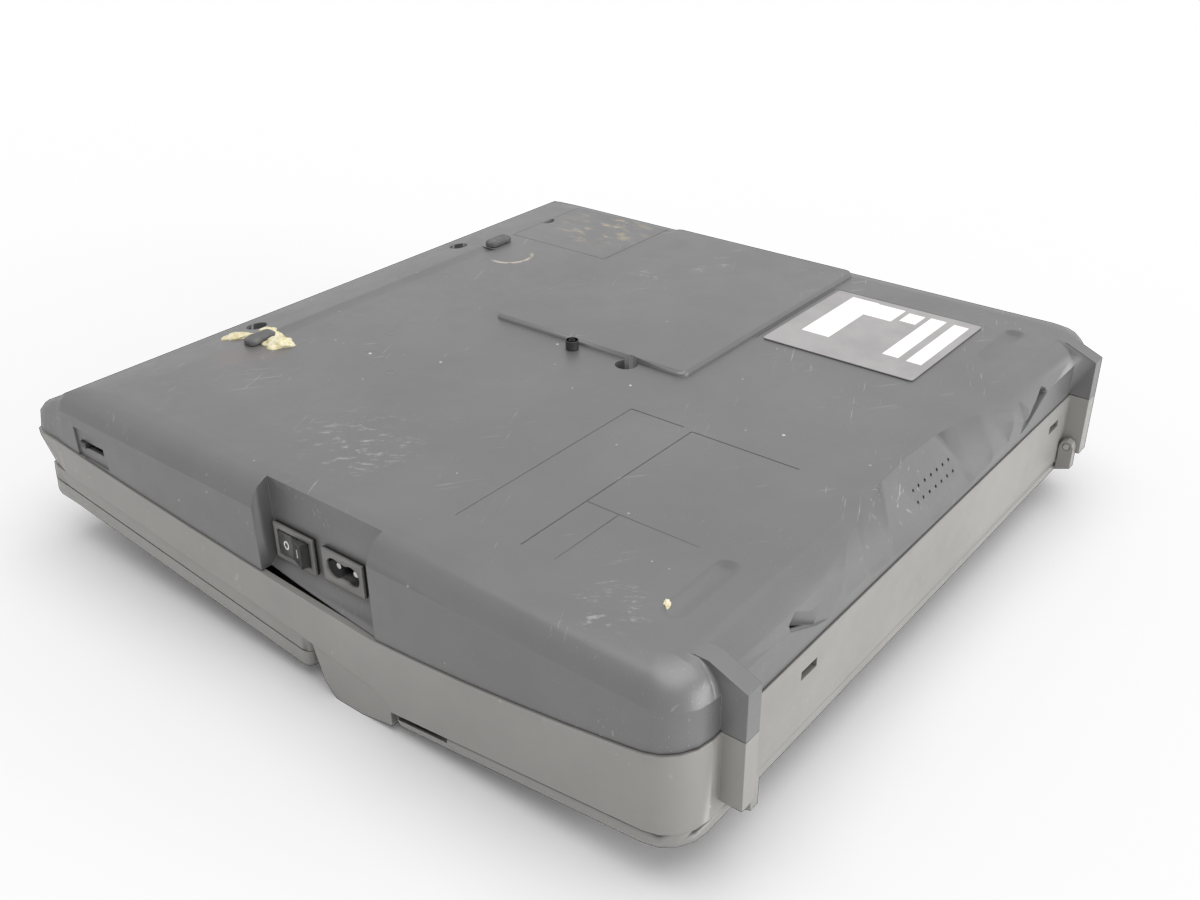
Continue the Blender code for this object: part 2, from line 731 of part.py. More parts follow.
def case_block(name, low_z):
    """Return the solid outer form of the dark half of the case."""
    half = HALF_WIDTH - LIP_STEP
    front = FRONT_Y + DARK_FRONT_SETBACK
    rings = [rounded_ring((-half, half), (front, REAR_Y - LIP_STEP), CORNER_RADIUS, low_z)]
    for run_share, rise_share in SHOULDER_SHARES:
        inset = run_share * SHOULDER_RUN
        radius = between(run_share, CORNER_RADIUS, CORNER_RADIUS_TOP)
        x_range = (-half + inset, half - inset)
        y_range = (front + FRONT_DRAFT + inset, REAR_Y - LIP_STEP - inset)
        rings.append(rounded_ring(x_range, y_range, radius, CREASE_Z + rise_share * SHOULDER_RISE))
    return loft(name, rings)


def make_bottom_case(surface):
    """The dark lower shell, which faces up here."""
    half = HALF_WIDTH - LIP_STEP
    low_z = SEAM_VALLEY_Z - OVERRUN
    case = case_block("bottom_case", low_z)
    case.data.materials.append(surface)

    bulge_x = (BULGE_OUTER_X, BULGE_INNER_X)
    bulge_y = (BULGE_FRONT_Y, BULGE_REAR_Y)
    crown_z = UNDERSIDE_Z + BULGE_RISE
    bulge = loft("bulge_form", [
        rounded_ring(bulge_x, bulge_y, BULGE_CORNER, UNDERSIDE_Z - WALL / 2),
        rounded_ring(bulge_x, bulge_y, BULGE_CORNER, crown_z - BULGE_EDGE),
        rounded_ring(
            (BULGE_OUTER_X + BULGE_EDGE, BULGE_INNER_X - BULGE_EDGE),
            (BULGE_FRONT_Y + BULGE_EDGE, BULGE_REAR_Y - BULGE_EDGE),
            BULGE_CORNER - BULGE_EDGE, crown_z),
    ])
    fuse(case, bulge)

    inner_half = half - WALL
    inner_front = FRONT_Y + DARK_FRONT_SETBACK + FRONT_DRAFT + WALL
    inner_rear = REAR_Y - LIP_STEP - WALL
    top_half = half - SHOULDER_RUN
    core = loft("bottom_core", [
        rounded_ring((-inner_half, inner_half), (inner_front - FRONT_DRAFT, inner_rear),
                     CORNER_RADIUS - WALL, low_z - OVERRUN),
        rounded_ring((-inner_half, inner_half), (inner_front, inner_rear),
                     CORNER_RADIUS - WALL, CREASE_Z - WALL),
        rounded_ring((-top_half, top_half), (inner_front + SHOULDER_RUN, inner_rear - SHOULDER_RUN),
                     CORNER_RADIUS_TOP, UNDERSIDE_Z - WALL),
    ])
    strip_fall = STRIP_DROP * (STRIP_LENGTH + OVERRUN) / STRIP_LENGTH
    slope_under = prism("strip_lining", "x", [
        (STRIP_Y + WALL, UNDERSIDE_Z - WALL),
        (STRIP_Y + WALL, SKY_Z),
        (FRONT_Y - OVERRUN, SKY_Z),
        (FRONT_Y - OVERRUN, UNDERSIDE_Z - WALL - strip_fall),
    ], -CASE_WIDTH, CASE_WIDTH)
    well_walls = [
        prism("well_wall", "z", circle(x, y, WELL_RADIUS + WALL), WELL_FLOOR_Z - WALL, SKY_Z)
        for x, y in WELLS
    ]
    socket_wall = block("socket_wall", (HALF_WIDTH - SOCKET_DEPTH - WALL, CASE_WIDTH),
                        (SOCKET_FRONT_Y - WALL, SOCKET_REAR_Y + WALL), (low_z - CASE_WIDTH, SKY_Z))
    tray_wall = block("tray_wall", around(BATTERY_CENTRE_X, BATTERY_DOOR_WIDTH + 2 * WALL),
                      around(BATTERY_CENTRE_Y, BATTERY_DOOR_LENGTH + 2 * WALL),
                      (BATTERY_FLOOR_Z - WALL, SKY_Z))
    recess_walls = [
        block("recess_wall", around(side * RECESS_X, RECESS_LENGTH + WALL),
              around(RECESS_Y, RECESS_WIDTH + WALL), (UNDERSIDE_Z - RECESS_DEPTH - WALL, SKY_Z))
        for side in (-1, 1)
    ]
    posts = board_posts("main_board_post", MAIN_BOARD_X, MAIN_BOARD_Y, MAIN_BOARD_WIDTH,
                        MAIN_BOARD_LENGTH, UNDERSIDE_Z)
    posts += board_posts("power_board_post", POWER_BOARD_X, POWER_BOARD_Y, POWER_BOARD_WIDTH,
                         POWER_BOARD_LENGTH, UNDERSIDE_Z)
    cut(core, slope_under, scoop("scoop_lining", SCOOP_LINING), socket_wall, tray_wall, *well_walls,
        *recess_walls, *posts)
    bulge_core = block("bulge_core", (BULGE_OUTER_X + BULGE_WALL, DRIVE_INNER_X + CLEARANCE),
                       (BULGE_FRONT_Y + BULGE_WALL, BULGE_REAR_Y - BULGE_WALL),
                       (DRIVE_BOTTOM_Z, crown_z - BULGE_WALL))
    fuse(core, bulge_core)
    cut(case, core)

    below_seam = prism("below_seam", "x", [
        *seam_line(CLEARANCE / 2),
        (REAR_Y + OVERRUN + STAND_REACH, BENCH_Z),
        (FRONT_Y - OVERRUN - STAND_REACH, BENCH_Z),
    ], -CASE_WIDTH, CASE_WIDTH)
    strip = prism("front_strip", "x", [
        (STRIP_Y, UNDERSIDE_Z),
        (STRIP_Y, SKY_Z),
        (FRONT_Y - OVERRUN, SKY_Z),
        (FRONT_Y - OVERRUN, UNDERSIDE_Z - strip_fall),
    ], -CASE_WIDTH, CASE_WIDTH)
    groove = prism("front_groove", "x", [
        (GROOVE_Y - GROOVE_WIDTH / 2, UNDERSIDE_Z),
        (GROOVE_Y - GROOVE_WIDTH / 2, SKY_Z),
        (GROOVE_Y + GROOVE_WIDTH / 2, SKY_Z),
        (GROOVE_Y + GROOVE_WIDTH / 2, UNDERSIDE_Z),
        (GROOVE_Y, UNDERSIDE_Z - GROOVE_DEPTH),
    ], -GROOVE_HALF_LENGTH, GROOVE_HALF_LENGTH)
    cut(case, scoop("rear_scoop", 0.0), strip, groove)

    for x, y in WELLS:
        well = prism("screw_well", "z", circle(x, y, WELL_RADIUS), WELL_FLOOR_Z, SKY_Z)
        hole = prism("screw_hole", "z", circle(x, y, SCREW_HOLE_RADIUS, SMALL_SIDES),
                     WELL_FLOOR_Z - WALL - OVERRUN, WELL_FLOOR_Z + WALL)
        cut(case, well, hole)

    socket_x = HALF_WIDTH - SOCKET_DEPTH
    lip_x = HALF_WIDTH - SOCKET_LIP_DEPTH
    socket = prism("socket_recess", "y", [
        (socket_x, SKY_Z),
        (socket_x, SOCKET_CHIN_Z),
        (lip_x, SOCKET_LIP_Z),
        (HALF_WIDTH + OVERRUN, SOCKET_LIP_Z - (HALF_WIDTH + OVERRUN - lip_x)),
        (HALF_WIDTH + OVERRUN, SKY_Z),
    ], SOCKET_FRONT_Y, SOCKET_REAR_Y)
    through_x = (socket_x - WALL - OVERRUN, socket_x + OVERRUN)
    switch_hole = block("switch_hole", through_x, around(SWITCH_Y, SWITCH_LENGTH - 2 * SWITCH_RIM),
                        around(SWITCH_Z, SWITCH_HEIGHT - 2 * SWITCH_RIM))
    inlet_hole = block("inlet_hole", through_x, around(INLET_Y, INLET_LENGTH - 2 * SWITCH_RIM),
                       around(INLET_Z, INLET_HEIGHT - 2 * SWITCH_RIM))
    cut(case, socket, switch_hole, inlet_hole)

    contrast_panel = block("contrast_panel", (half - CONTRAST_PANEL_DEPTH, HALF_WIDTH + OVERRUN),
                           around(CONTRAST_Y, CONTRAST_PANEL_LENGTH),
                           around(CONTRAST_Z, CONTRAST_PANEL_HEIGHT))
    contrast_slot = block("contrast_slot", (half - WALL - OVERRUN, HALF_WIDTH),
                          around(CONTRAST_Y, CONTRAST_SLOT_LENGTH), around(CONTRAST_Z, CONTRAST_SLOT_HEIGHT))
    cut(case, contrast_panel, contrast_slot)

    door_x = around(BATTERY_CENTRE_X, BATTERY_DOOR_WIDTH)
    door_y = around(BATTERY_CENTRE_Y, BATTERY_DOOR_LENGTH)
    door_seat = block("door_seat", door_x, door_y, (UNDERSIDE_Z - BATTERY_DOOR_THICKNESS - CLEARANCE, SKY_Z))
    tray_x = around(BATTERY_CENTRE_X, BATTERY_DOOR_WIDTH - 2 * BATTERY_LEDGE)
    tray_y = around(BATTERY_CENTRE_Y, BATTERY_DOOR_LENGTH - 2 * BATTERY_LEDGE)
    tray = block("battery_tray", tray_x, tray_y, (BATTERY_FLOOR_Z, SKY_Z))
    cut(case, door_seat, tray)

    drive_opening = block("drive_opening", (-HALF_WIDTH - OVERRUN, -inner_half + OVERRUN),
                          around(DRIVE_Y, BEZEL_WIDTH + 2 * CLEARANCE),
                          around(BEZEL_Z, BEZEL_HEIGHT + 2 * CLEARANCE))
    recesses = [
        loft("foot_recess", [
            rounded_ring(around(side * RECESS_X, RECESS_LENGTH - RECESS_WIDTH / 2),
                         around(RECESS_Y, RECESS_WIDTH / 2), RECESS_WIDTH * RECESS_FLOOR_SHARE,
                         UNDERSIDE_Z - RECESS_DEPTH),
            rounded_ring(around(side * RECESS_X, RECESS_LENGTH), around(RECESS_Y, RECESS_WIDTH),
                         RECESS_WIDTH * RECESS_RIM_SHARE, UNDERSIDE_Z),
            rounded_ring(around(side * RECESS_X, RECESS_LENGTH), around(RECESS_Y, RECESS_WIDTH),
                         RECESS_WIDTH * RECESS_RIM_SHARE, SKY_Z),
        ])
        for side in (-1, 1)
    ]
    cut(case, drive_opening, *recesses)

    middle, fall, outward = scoop_frame(SPEAKER_X)
    holes = []
    for column in range(SPEAKER_HOLE_COLUMNS):
        for row in range(SPEAKER_HOLE_ROWS):
            along = (column - (SPEAKER_HOLE_COLUMNS - 1) / 2) * SPEAKER_HOLE_PITCH
            down = (row - (SPEAKER_HOLE_ROWS - 1) / 2) * SPEAKER_HOLE_PITCH
            start = middle + Vector((along, 0, 0)) + fall * down - outward * (WALL + OVERRUN)
            length = WALL + 2 * OVERRUN
            holes.append(aimed_rod("speaker_hole", start, outward, length, SPEAKER_HOLE_RADIUS, TINY_SIDES))
    cut(case, group("speaker_holes", holes, None))

    for side in (-1, 1):
        x_range = sorted((side * STAND_INNER_X, side * (STAND_INNER_X + STAND_THICKNESS)))
        stand = prism("stand_top", "x", [
            (STAND_ROOT_Y, SEAM_REAR_Z + CLEARANCE / 2),
            (REAR_Y + STAND_REACH, SEAM_REAR_Z + CLEARANCE / 2),
            (REAR_Y + STAND_REACH, STAND_TIP_Z),
            (STAND_TOP_Y, UNDERSIDE_Z - CLEARANCE),
            (STAND_ROOT_Y, UNDERSIDE_Z - CLEARANCE),
        ], *x_range)
        cut(stand, keep_inside("stand_trim", side))
        fuse(case, stand)
    return cut(case, below_seam)


def keep_inside(name, side):
    """Return the inner space that a stand's root must not fill."""
    x_range = sorted((side * (STAND_INNER_X - OVERRUN), side * (STAND_INNER_X + STAND_THICKNESS + OVERRUN)))
    return block(name, x_range, (STAND_ROOT_Y - OVERRUN, REAR_Y - LIP_STEP - WALL / 2),
                 (BENCH_Z, CREASE_Z - WALL / 2))


def tilted(body):
    """Turn a body made on a level deck onto the sloped deck, at the lid's rear edge."""
    turn = Matrix.Translation((0, LID_REAR_Y, DECK_REAR_Z)) @ Matrix.Rotation(-DECK_TILT, 4, "X")
    body.data.transform(turn)
    return body


def make_top_case(surface):
    """The light upper shell: a band round the sides that carries the sloped deck."""
    high_z = SEAM_REAR_Z + OVERRUN
    taper_y = FRONT_Y + BAND_TAPER
    outer_x = (-HALF_WIDTH, HALF_WIDTH)
    inner_x = (-HALF_WIDTH + WALL, HALF_WIDTH - WALL)
    levels = (
        (taper_y, BENCH_Z, BENCH_Z - OVERRUN),
        (taper_y, DECK_FRONT_Z - WALL, DECK_FRONT_Z - WALL),
        (FRONT_Y, SEAM_FRONT_Z - BAND_LIP, SEAM_FRONT_Z - BAND_LIP),
        (FRONT_Y, high_z, high_z + OVERRUN),
    )
    case = loft("top_case", [
        rounded_ring(outer_x, (front, REAR_Y), CORNER_RADIUS, z) for front, z, _ in levels
    ], surface)
    core = loft("top_core", [
        rounded_ring(inner_x, (front + WALL, REAR_Y - WALL), CORNER_RADIUS - WALL, z)
        for front, _, z in levels
    ])
    reach = OVERRUN + STAND_REACH
    below = [(REAR_Y + reach, BENCH_Z - 2 * OVERRUN), (FRONT_Y - reach, BENCH_Z - 2 * OVERRUN)]
    above = [(REAR_Y + reach, SKY_Z), (FRONT_Y - reach, SKY_Z)]
    cut(core, prism("deck_sheet", "x", [*deck_line(WALL), *below], -CASE_WIDTH, CASE_WIDTH))
    stands = []
    for side in (-1, 1):
        x_range = sorted((side * STAND_INNER_X, side * (STAND_INNER_X + STAND_THICKNESS)))
        stands.append(block("stand_foot", x_range, (REAR_Y - WALL / 2, REAR_Y + STAND_REACH),
                            (STAND_FOOT_Z, SEAM_REAR_Z + OVERRUN)))
    fuse(case, *stands)
    cut(case, core)
    cut(case, prism("below_deck", "x", [*deck_line(0.0), *below], -CASE_WIDTH, CASE_WIDTH))
    cut(case, prism("above_seam", "x", [*seam_line(-CLEARANCE / 2), *above], -CASE_WIDTH, CASE_WIDTH))

    key_half = KEY_FIELD_HALF_WIDTH + KEYBOARD_MARGIN
    opening = block("keyboard_opening", (-key_half, key_half),
                    (KEY_FIELD_FRONT - KEYBOARD_MARGIN, KEY_FIELD_REAR + KEYBOARD_MARGIN),
                    (-OVERRUN, 2 * OVERRUN))
    bay = block("printer_bay", (-BAY_HALF_WIDTH, BAY_HALF_WIDTH), (BAY_FRONT_Y, BAY_REAR_Y),
                (BENCH_Z, SEAM_VALLEY_Z))
    windows = [
        block("snap_window", around(x, SNAP_WIDTH), (REAR_Y - WALL - OVERRUN, REAR_Y + OVERRUN),
              around(SNAP_Z, SNAP_HEIGHT))
        for x in (SNAP_NEAR_X, SNAP_FAR_X)
    ]
    cut(case, tilted(opening), bay, *windows)

    posts = []
    for x, y in WELLS:
        low = deck_z(y) if y < LID_REAR_Y else HUMP_MIDDLE_Z + CLEARANCE + WALL / 2
        posts.append(prism("screw_post", "z", circle(x, y, POST_RADIUS), low + WALL / 2, POST_TOP_Z))
    for side in (-1, 1):
        for share in (0.0, 0.5, 1.0):
            x = side * (KEY_FIELD_HALF_WIDTH + KEYBOARD_MARGIN + KEY_PLATE_SIDE / 2)
            u = between(share, KEY_FIELD_FRONT, KEY_FIELD_REAR)
            outline = circle(x, u, KEY_STANDOFF_RADIUS, SMALL_SIDES)
            posts.append(tilted(prism("plate_standoff", "z", outline, WALL / 2, KEY_PLATE_LOW - CLEARANCE)))
    fuse(case, *posts)
    pilots = [
        prism("screw_pilot", "z", circle(x, y, SCREW_SHANK_RADIUS + CLEARANCE, SMALL_SIDES),
              WELL_FLOOR_Z - SCREW_LENGTH - CLEARANCE, POST_TOP_Z + OVERRUN)
        for x, y in WELLS
    ]
    pin_bores = []
    for side in (-1, 1):
        x_range = sorted((side * (STAND_INNER_X - OVERRUN), side * COVER_PIN_END))
        outline = circle(COVER_PIVOT_Y, COVER_PIVOT_Z, COVER_PIN_RADIUS + CLEARANCE, SMALL_SIDES)
        pin_bores.append(prism("cover_pin_bore", "x", outline, *x_range))
    return cut(case, *pilots, *pin_bores)


def make_hinge_cover(name, side, surface):
    """The fixed end of the hinge hump on one side, hollow towards the case."""
    inner = BARREL_HALF_LENGTH + HINGE_END_GAP
    outer = HALF_WIDTH - COVER_SIDE_INSET
    outline = [
        (LID_REAR_Y + HINGE_COVER_STEP, DECK_REAR_Z - 2 * CLEARANCE),
        (HUMP_NOSE_Y, HUMP_NOSE_Z),
        (HUMP_FLAT_Y, 0.0),
        (HUMP_FLAT_Y + HUMP_FLAT_RUN, 0.0),
        (COVER_FRONT_Y - CLEARANCE, COVER_FACE_FRONT_Z),
        (COVER_FRONT_Y - CLEARANCE, HUMP_REAR_Z - CLEARANCE),
        (HUMP_MIDDLE_Y, HUMP_MIDDLE_Z - CLEARANCE),
    ]
    cover = prism(name, "x", outline, *sorted((side * inner, side * outer)), surface)
    bore = prism("pin_bore", "x", circle(HINGE_Y, HINGE_Z, HINGE_PIN_RADIUS + CLEARANCE),
                 *sorted((side * (inner - OVERRUN), side * (inner + HINGE_PIN_REACH + CLEARANCE))))
    hollow = prism("cover_hollow", "x", [
        (HUMP_NOSE_Y + WALL, DECK_REAR_Z + WALL),
        (HUMP_NOSE_Y + WALL, HUMP_NOSE_Z + WALL),
        (HUMP_FLAT_Y + WALL, WALL),
        (HUMP_FLAT_Y + HUMP_FLAT_RUN, WALL),
        (COVER_FRONT_Y - 2 * WALL, COVER_FACE_FRONT_Z + WALL),
        (COVER_FRONT_Y - 2 * WALL, DECK_REAR_Z + WALL),
    ], *sorted((side * (inner + HINGE_PIN_REACH + WALL), side * (outer - WALL))))
    return cut(cover, bore, hollow)


def make_hinge_pin(name, side, surface):
    """A steel pin that carries one end of the lid's barrel in its hinge cover."""
    reach = BARREL_HALF_LENGTH + HINGE_END_GAP + HINGE_PIN_REACH
    root = BARREL_HALF_LENGTH - HINGE_PIN_REACH
    outline = circle(HINGE_Y, HINGE_Z, HINGE_PIN_RADIUS)
    return prism(name, "x", outline, *sorted((side * root, side * reach)), surface)


def make_cover_pin(name, side, surface):
    """A short pin that carries one ear of the printer cover at its stand."""
    start = STAND_INNER_X - CLEARANCE - COVER_EAR_THICKNESS
    outline = circle(COVER_PIVOT_Y, COVER_PIVOT_Z, COVER_PIN_RADIUS, SMALL_SIDES)
    return prism(name, "x", outline, *sorted((side * start, side * (COVER_PIN_END - CLEARANCE))), surface)


def make_front_foot(name, side, surface):
    """A rubber foot at one end of the front groove."""
    x_range = around(side * FOOT_X, FOOT_LENGTH)
    y_range = around(FOOT_Y, FOOT_WIDTH)
    base = UNDERSIDE_Z + CLEARANCE
    inset = FOOT_HEIGHT / 3
    crown_x = (x_range[0] + inset, x_range[1] - inset)
    crown_y = (y_range[0] + inset, y_range[1] - inset)
    corner = FOOT_WIDTH / 3
    return loft(name, [
        rounded_ring(x_range, y_range, corner, base),
        rounded_ring(x_range, y_range, corner, base + FOOT_HEIGHT - inset),
        rounded_ring(crown_x, crown_y, corner - inset, base + FOOT_HEIGHT),
    ], surface)


def make_centre_foot(surface):
    """The small round boss beside the drive bulge."""
    base = UNDERSIDE_Z + CLEARANCE
    top = base + BOSS_HEIGHT
    foot = prism("centre_foot", "z", circle(BOSS_X, BOSS_Y, BOSS_RADIUS, FINE_SIDES), base, top, surface)
    hole = prism("boss_hole", "z", circle(BOSS_X, BOSS_Y, BOSS_HOLE_RADIUS), top - BOSS_HOLE_DEPTH,
                 top + OVERRUN)
    return cut(foot, hole)


def make_label_plate(surface):
    """A bare plate on the flat by the rear corner."""
    base = UNDERSIDE_Z + CLEARANCE
    return loft("label_plate", [
        rounded_ring(around(LABEL_X, LABEL_WIDTH), around(LABEL_Y, LABEL_LENGTH), LABEL_CORNER, z)
        for z in (base, base + LABEL_THICKNESS)
    ], surface)


def make_case_screw(name, x, y, surface):
    """A cross-head screw at the bottom of a well."""
    seat = WELL_FLOOR_Z + CLEARANCE
    top = seat + SCREW_HEAD_HEIGHT
    crown = SCREW_HEAD_HEIGHT / 3
    turned = (
        (SCREW_SHANK_RADIUS, top - SCREW_LENGTH),
        (SCREW_SHANK_RADIUS, seat),
        (SCREW_HEAD_RADIUS, seat),
        (SCREW_HEAD_RADIUS, top - crown),
        (SCREW_HEAD_RADIUS - crown, top),
    )
    screw = loft(name, [[(*point, z) for point in circle(x, y, radius)] for radius, z in turned], surface)
    for size in ((SCREW_CROSS_LENGTH, SCREW_CROSS_WIDTH), (SCREW_CROSS_WIDTH, SCREW_CROSS_LENGTH)):
        cut(screw, block("screw_cross", around(x, size[0]), around(y, size[1]),
                         (top - SCREW_CROSS_DEPTH, top + OVERRUN)))
    return screw


def make_switch_body(surface):
    """The power switch's housing, with a flange against the recess floor."""
    floor_x = HALF_WIDTH - SOCKET_DEPTH
    face_x = floor_x + CLEARANCE + SWITCH_FLANGE
    body_length = SWITCH_LENGTH - 2 * SWITCH_RIM - 2 * CLEARANCE
    body_height = SWITCH_HEIGHT - 2 * SWITCH_RIM - 2 * CLEARANCE
    body = block("switch_body", (floor_x + CLEARANCE, face_x), around(SWITCH_Y, SWITCH_LENGTH),
                 around(SWITCH_Z, SWITCH_HEIGHT), surface)
    shank = block("switch_shank", (face_x - SWITCH_BODY_DEPTH, face_x - SWITCH_FLANGE / 2),
                  around(SWITCH_Y, body_length), around(SWITCH_Z, body_height))
    cavity = block("switch_cavity", (face_x - SWITCH_BODY_DEPTH + 2 * WALL, face_x + OVERRUN),
                   around(SWITCH_Y, body_length - 2 * SWITCH_WALL),
                   around(SWITCH_Z, body_height - 2 * SWITCH_WALL))
    outline = circle(face_x - ROCKER_PIVOT_DEPTH, SWITCH_Y, ROCKER_AXLE_RADIUS + CLEARANCE, SMALL_SIDES)
    axle = prism("axle_hole", "z", outline, SWITCH_Z - SWITCH_HEIGHT / 2,
                 SWITCH_Z + body_height / 2 + CLEARANCE)
    fuse(body, shank)
    return cut(body, cavity, axle)


def make_switch_rocker(surface):
    """The two-way rocker, pressed at its front half."""
    pivot_x = HALF_WIDTH - SOCKET_DEPTH + CLEARANCE + SWITCH_FLANGE - ROCKER_PIVOT_DEPTH
    half_length = SWITCH_LENGTH / 2 - SWITCH_RIM - CLEARANCE - SWITCH_WALL - ROCKER_END_GAP
    half_height = SWITCH_HEIGHT / 2 - SWITCH_RIM - CLEARANCE - SWITCH_WALL - ROCKER_SIDE_GAP
    outline = [
        (-ROCKER_HEEL, -half_length),
        (ROCKER_REACH, -half_length),
        (ROCKER_REACH - ROCKER_DISH, 0.0),
        (ROCKER_REACH, half_length),
        (-ROCKER_HEEL, half_length),
    ]
    rocker = prism("switch_rocker", "z", outline, -half_height, half_height, surface)
    axle_half = half_height + ROCKER_SIDE_GAP + SWITCH_WALL / 2
    outline = circle(0.0, 0.0, ROCKER_AXLE_RADIUS, SMALL_SIDES)
    axle = prism("rocker_axle", "z", outline, -axle_half, axle_half)
    tilt = Matrix.Rotation(-math.radians(ROCKER_TILT_DEG), 4, "Z")
    place = Matrix.Translation((pivot_x, SWITCH_Y, SWITCH_Z)) @ tilt
    for piece in (rocker, axle):
        piece.data.transform(place)
    fuse(rocker, axle)
    return pivot_at(rocker, (pivot_x, SWITCH_Y, SWITCH_Z))


def make_inlet_socket(surface):
    """The two-pole mains inlet, with a figure-eight cavity."""
    floor_x = HALF_WIDTH - SOCKET_DEPTH
    face_x = floor_x + CLEARANCE + INLET_FLANGE
    rear_x = face_x - INLET_BODY_DEPTH
    cavity_x = face_x - INLET_CAVITY_DEPTH
    body = block("inlet_socket", (floor_x + CLEARANCE, face_x), around(INLET_Y, INLET_LENGTH),
                 around(INLET_Z, INLET_HEIGHT), surface)
    shank = block("inlet_shank", (rear_x, face_x - INLET_FLANGE / 2),
                  around(INLET_Y, INLET_LENGTH - 2 * SWITCH_RIM - 2 * CLEARANCE),
                  around(INLET_Z, INLET_HEIGHT - 2 * SWITCH_RIM - 2 * CLEARANCE))
    fuse(body, shank)
    for side in (-1, 1):
        y = INLET_Y + side * PIN_PITCH / 2
        lobe = prism("inlet_lobe", "x", circle(y, INLET_Z, INLET_LOBE_RADIUS), cavity_x, face_x + OVERRUN)
        hole = prism("pin_hole", "x", circle(y, INLET_Z, PIN_RADIUS + CLEARANCE, SMALL_SIDES),
                     rear_x - OVERRUN, cavity_x + CLEARANCE)
        cut(body, lobe, hole)
    waist = block("inlet_waist", (cavity_x, face_x + OVERRUN), around(INLET_Y, PIN_PITCH / 2),
                  around(INLET_Z, INLET_LOBE_RADIUS * INLET_WAIST_SHARE))
    return cut(body, waist)


def make_inlet_pin(name, side, surface):
    """A contact pin through the back of the inlet."""
    face_x = HALF_WIDTH - SOCKET_DEPTH + CLEARANCE + INLET_FLANGE
    rear_x = face_x - INLET_BODY_DEPTH - WALL
    outline = circle(INLET_Y + side * PIN_PITCH / 2, INLET_Z, PIN_RADIUS, SMALL_SIDES)
    return prism(name, "x", outline, rear_x, face_x - INLET_CAVITY_DEPTH + PIN_LENGTH, surface)


def make_contrast_knob(surface):
    """The screen contrast slider, at the front end of its slot."""
    half = HALF_WIDTH - LIP_STEP
    y = CONTRAST_Y - CONTRAST_SLOT_LENGTH / 2 + CLEARANCE + CONTRAST_KNOB_LENGTH / 2
    stem = block("contrast_knob", (half - CONTRAST_BLOCK_DEPTH, HALF_WIDTH - CLEARANCE),
                 around(y, CONTRAST_KNOB_LENGTH),
                 around(CONTRAST_Z, CONTRAST_SLOT_HEIGHT - 2 * CLEARANCE), surface)
    slider = block("contrast_slider", (half - CONTRAST_BLOCK_DEPTH - WALL, half - WALL - CLEARANCE),
                   around(y, 2 * CONTRAST_KNOB_LENGTH), around(CONTRAST_Z, 2 * CONTRAST_SLOT_HEIGHT))
    fuse(stem, slider)
    return pivot_at(stem, (half, y, CONTRAST_Z))


def make_battery_door(surface):
    """The backup battery's lift-off door, with a notch for a finger nail."""
    x_range = around(BATTERY_CENTRE_X, BATTERY_DOOR_WIDTH - 2 * CLEARANCE)
    y_range = around(BATTERY_CENTRE_Y, BATTERY_DOOR_LENGTH - 2 * CLEARANCE)
    z_range = (UNDERSIDE_Z - BATTERY_DOOR_THICKNESS, UNDERSIDE_Z)
    door = block("battery_door", x_range, y_range, z_range, surface)
    front = y_range[0]
    half = BATTERY_NOTCH_WIDTH / 2
    notch = prism("door_notch", "z", [
        (BATTERY_CENTRE_X - half, front - OVERRUN),
        (BATTERY_CENTRE_X + half, front - OVERRUN),
        (BATTERY_CENTRE_X + half, front + BATTERY_NOTCH_LENGTH / 2),
        (BATTERY_CENTRE_X, front + BATTERY_NOTCH_LENGTH),
        (BATTERY_CENTRE_X - half, front + BATTERY_NOTCH_LENGTH / 2),
    ], UNDERSIDE_Z - BATTERY_DOOR_THICKNESS / 2, SKY_Z)
    cut(door, notch)
    return pivot_at(door, (BATTERY_CENTRE_X, BATTERY_CENTRE_Y, UNDERSIDE_Z))


def make_backup_pack(surface):
    """The backup battery: round cells side by side in one wrap."""
    cells = []
    pitch = 2 * CELL_RADIUS * CELL_PITCH_SHARE
    low_y = BATTERY_CENTRE_Y - CELL_LENGTH / 2
    z = BATTERY_FLOOR_Z + CELL_RADIUS + CLEARANCE
    for index in range(CELL_COUNT):
        x = BATTERY_CENTRE_X + (index - (CELL_COUNT - 1) / 2) * pitch
        turned = (
            (CELL_RADIUS, low_y),
            (CELL_RADIUS, low_y + CELL_LENGTH),
            (CELL_RADIUS / 3, low_y + CELL_LENGTH),
            (CELL_RADIUS / 3, low_y + CELL_LENGTH + CELL_CAP),
        )
        rings = [[(across, y, up) for across, up in circle(x, z, radius)] for radius, y in turned]
        cells.append(loft("backup_pack" if index == 0 else "backup_cell", rings, surface))
    return fuse(*cells)


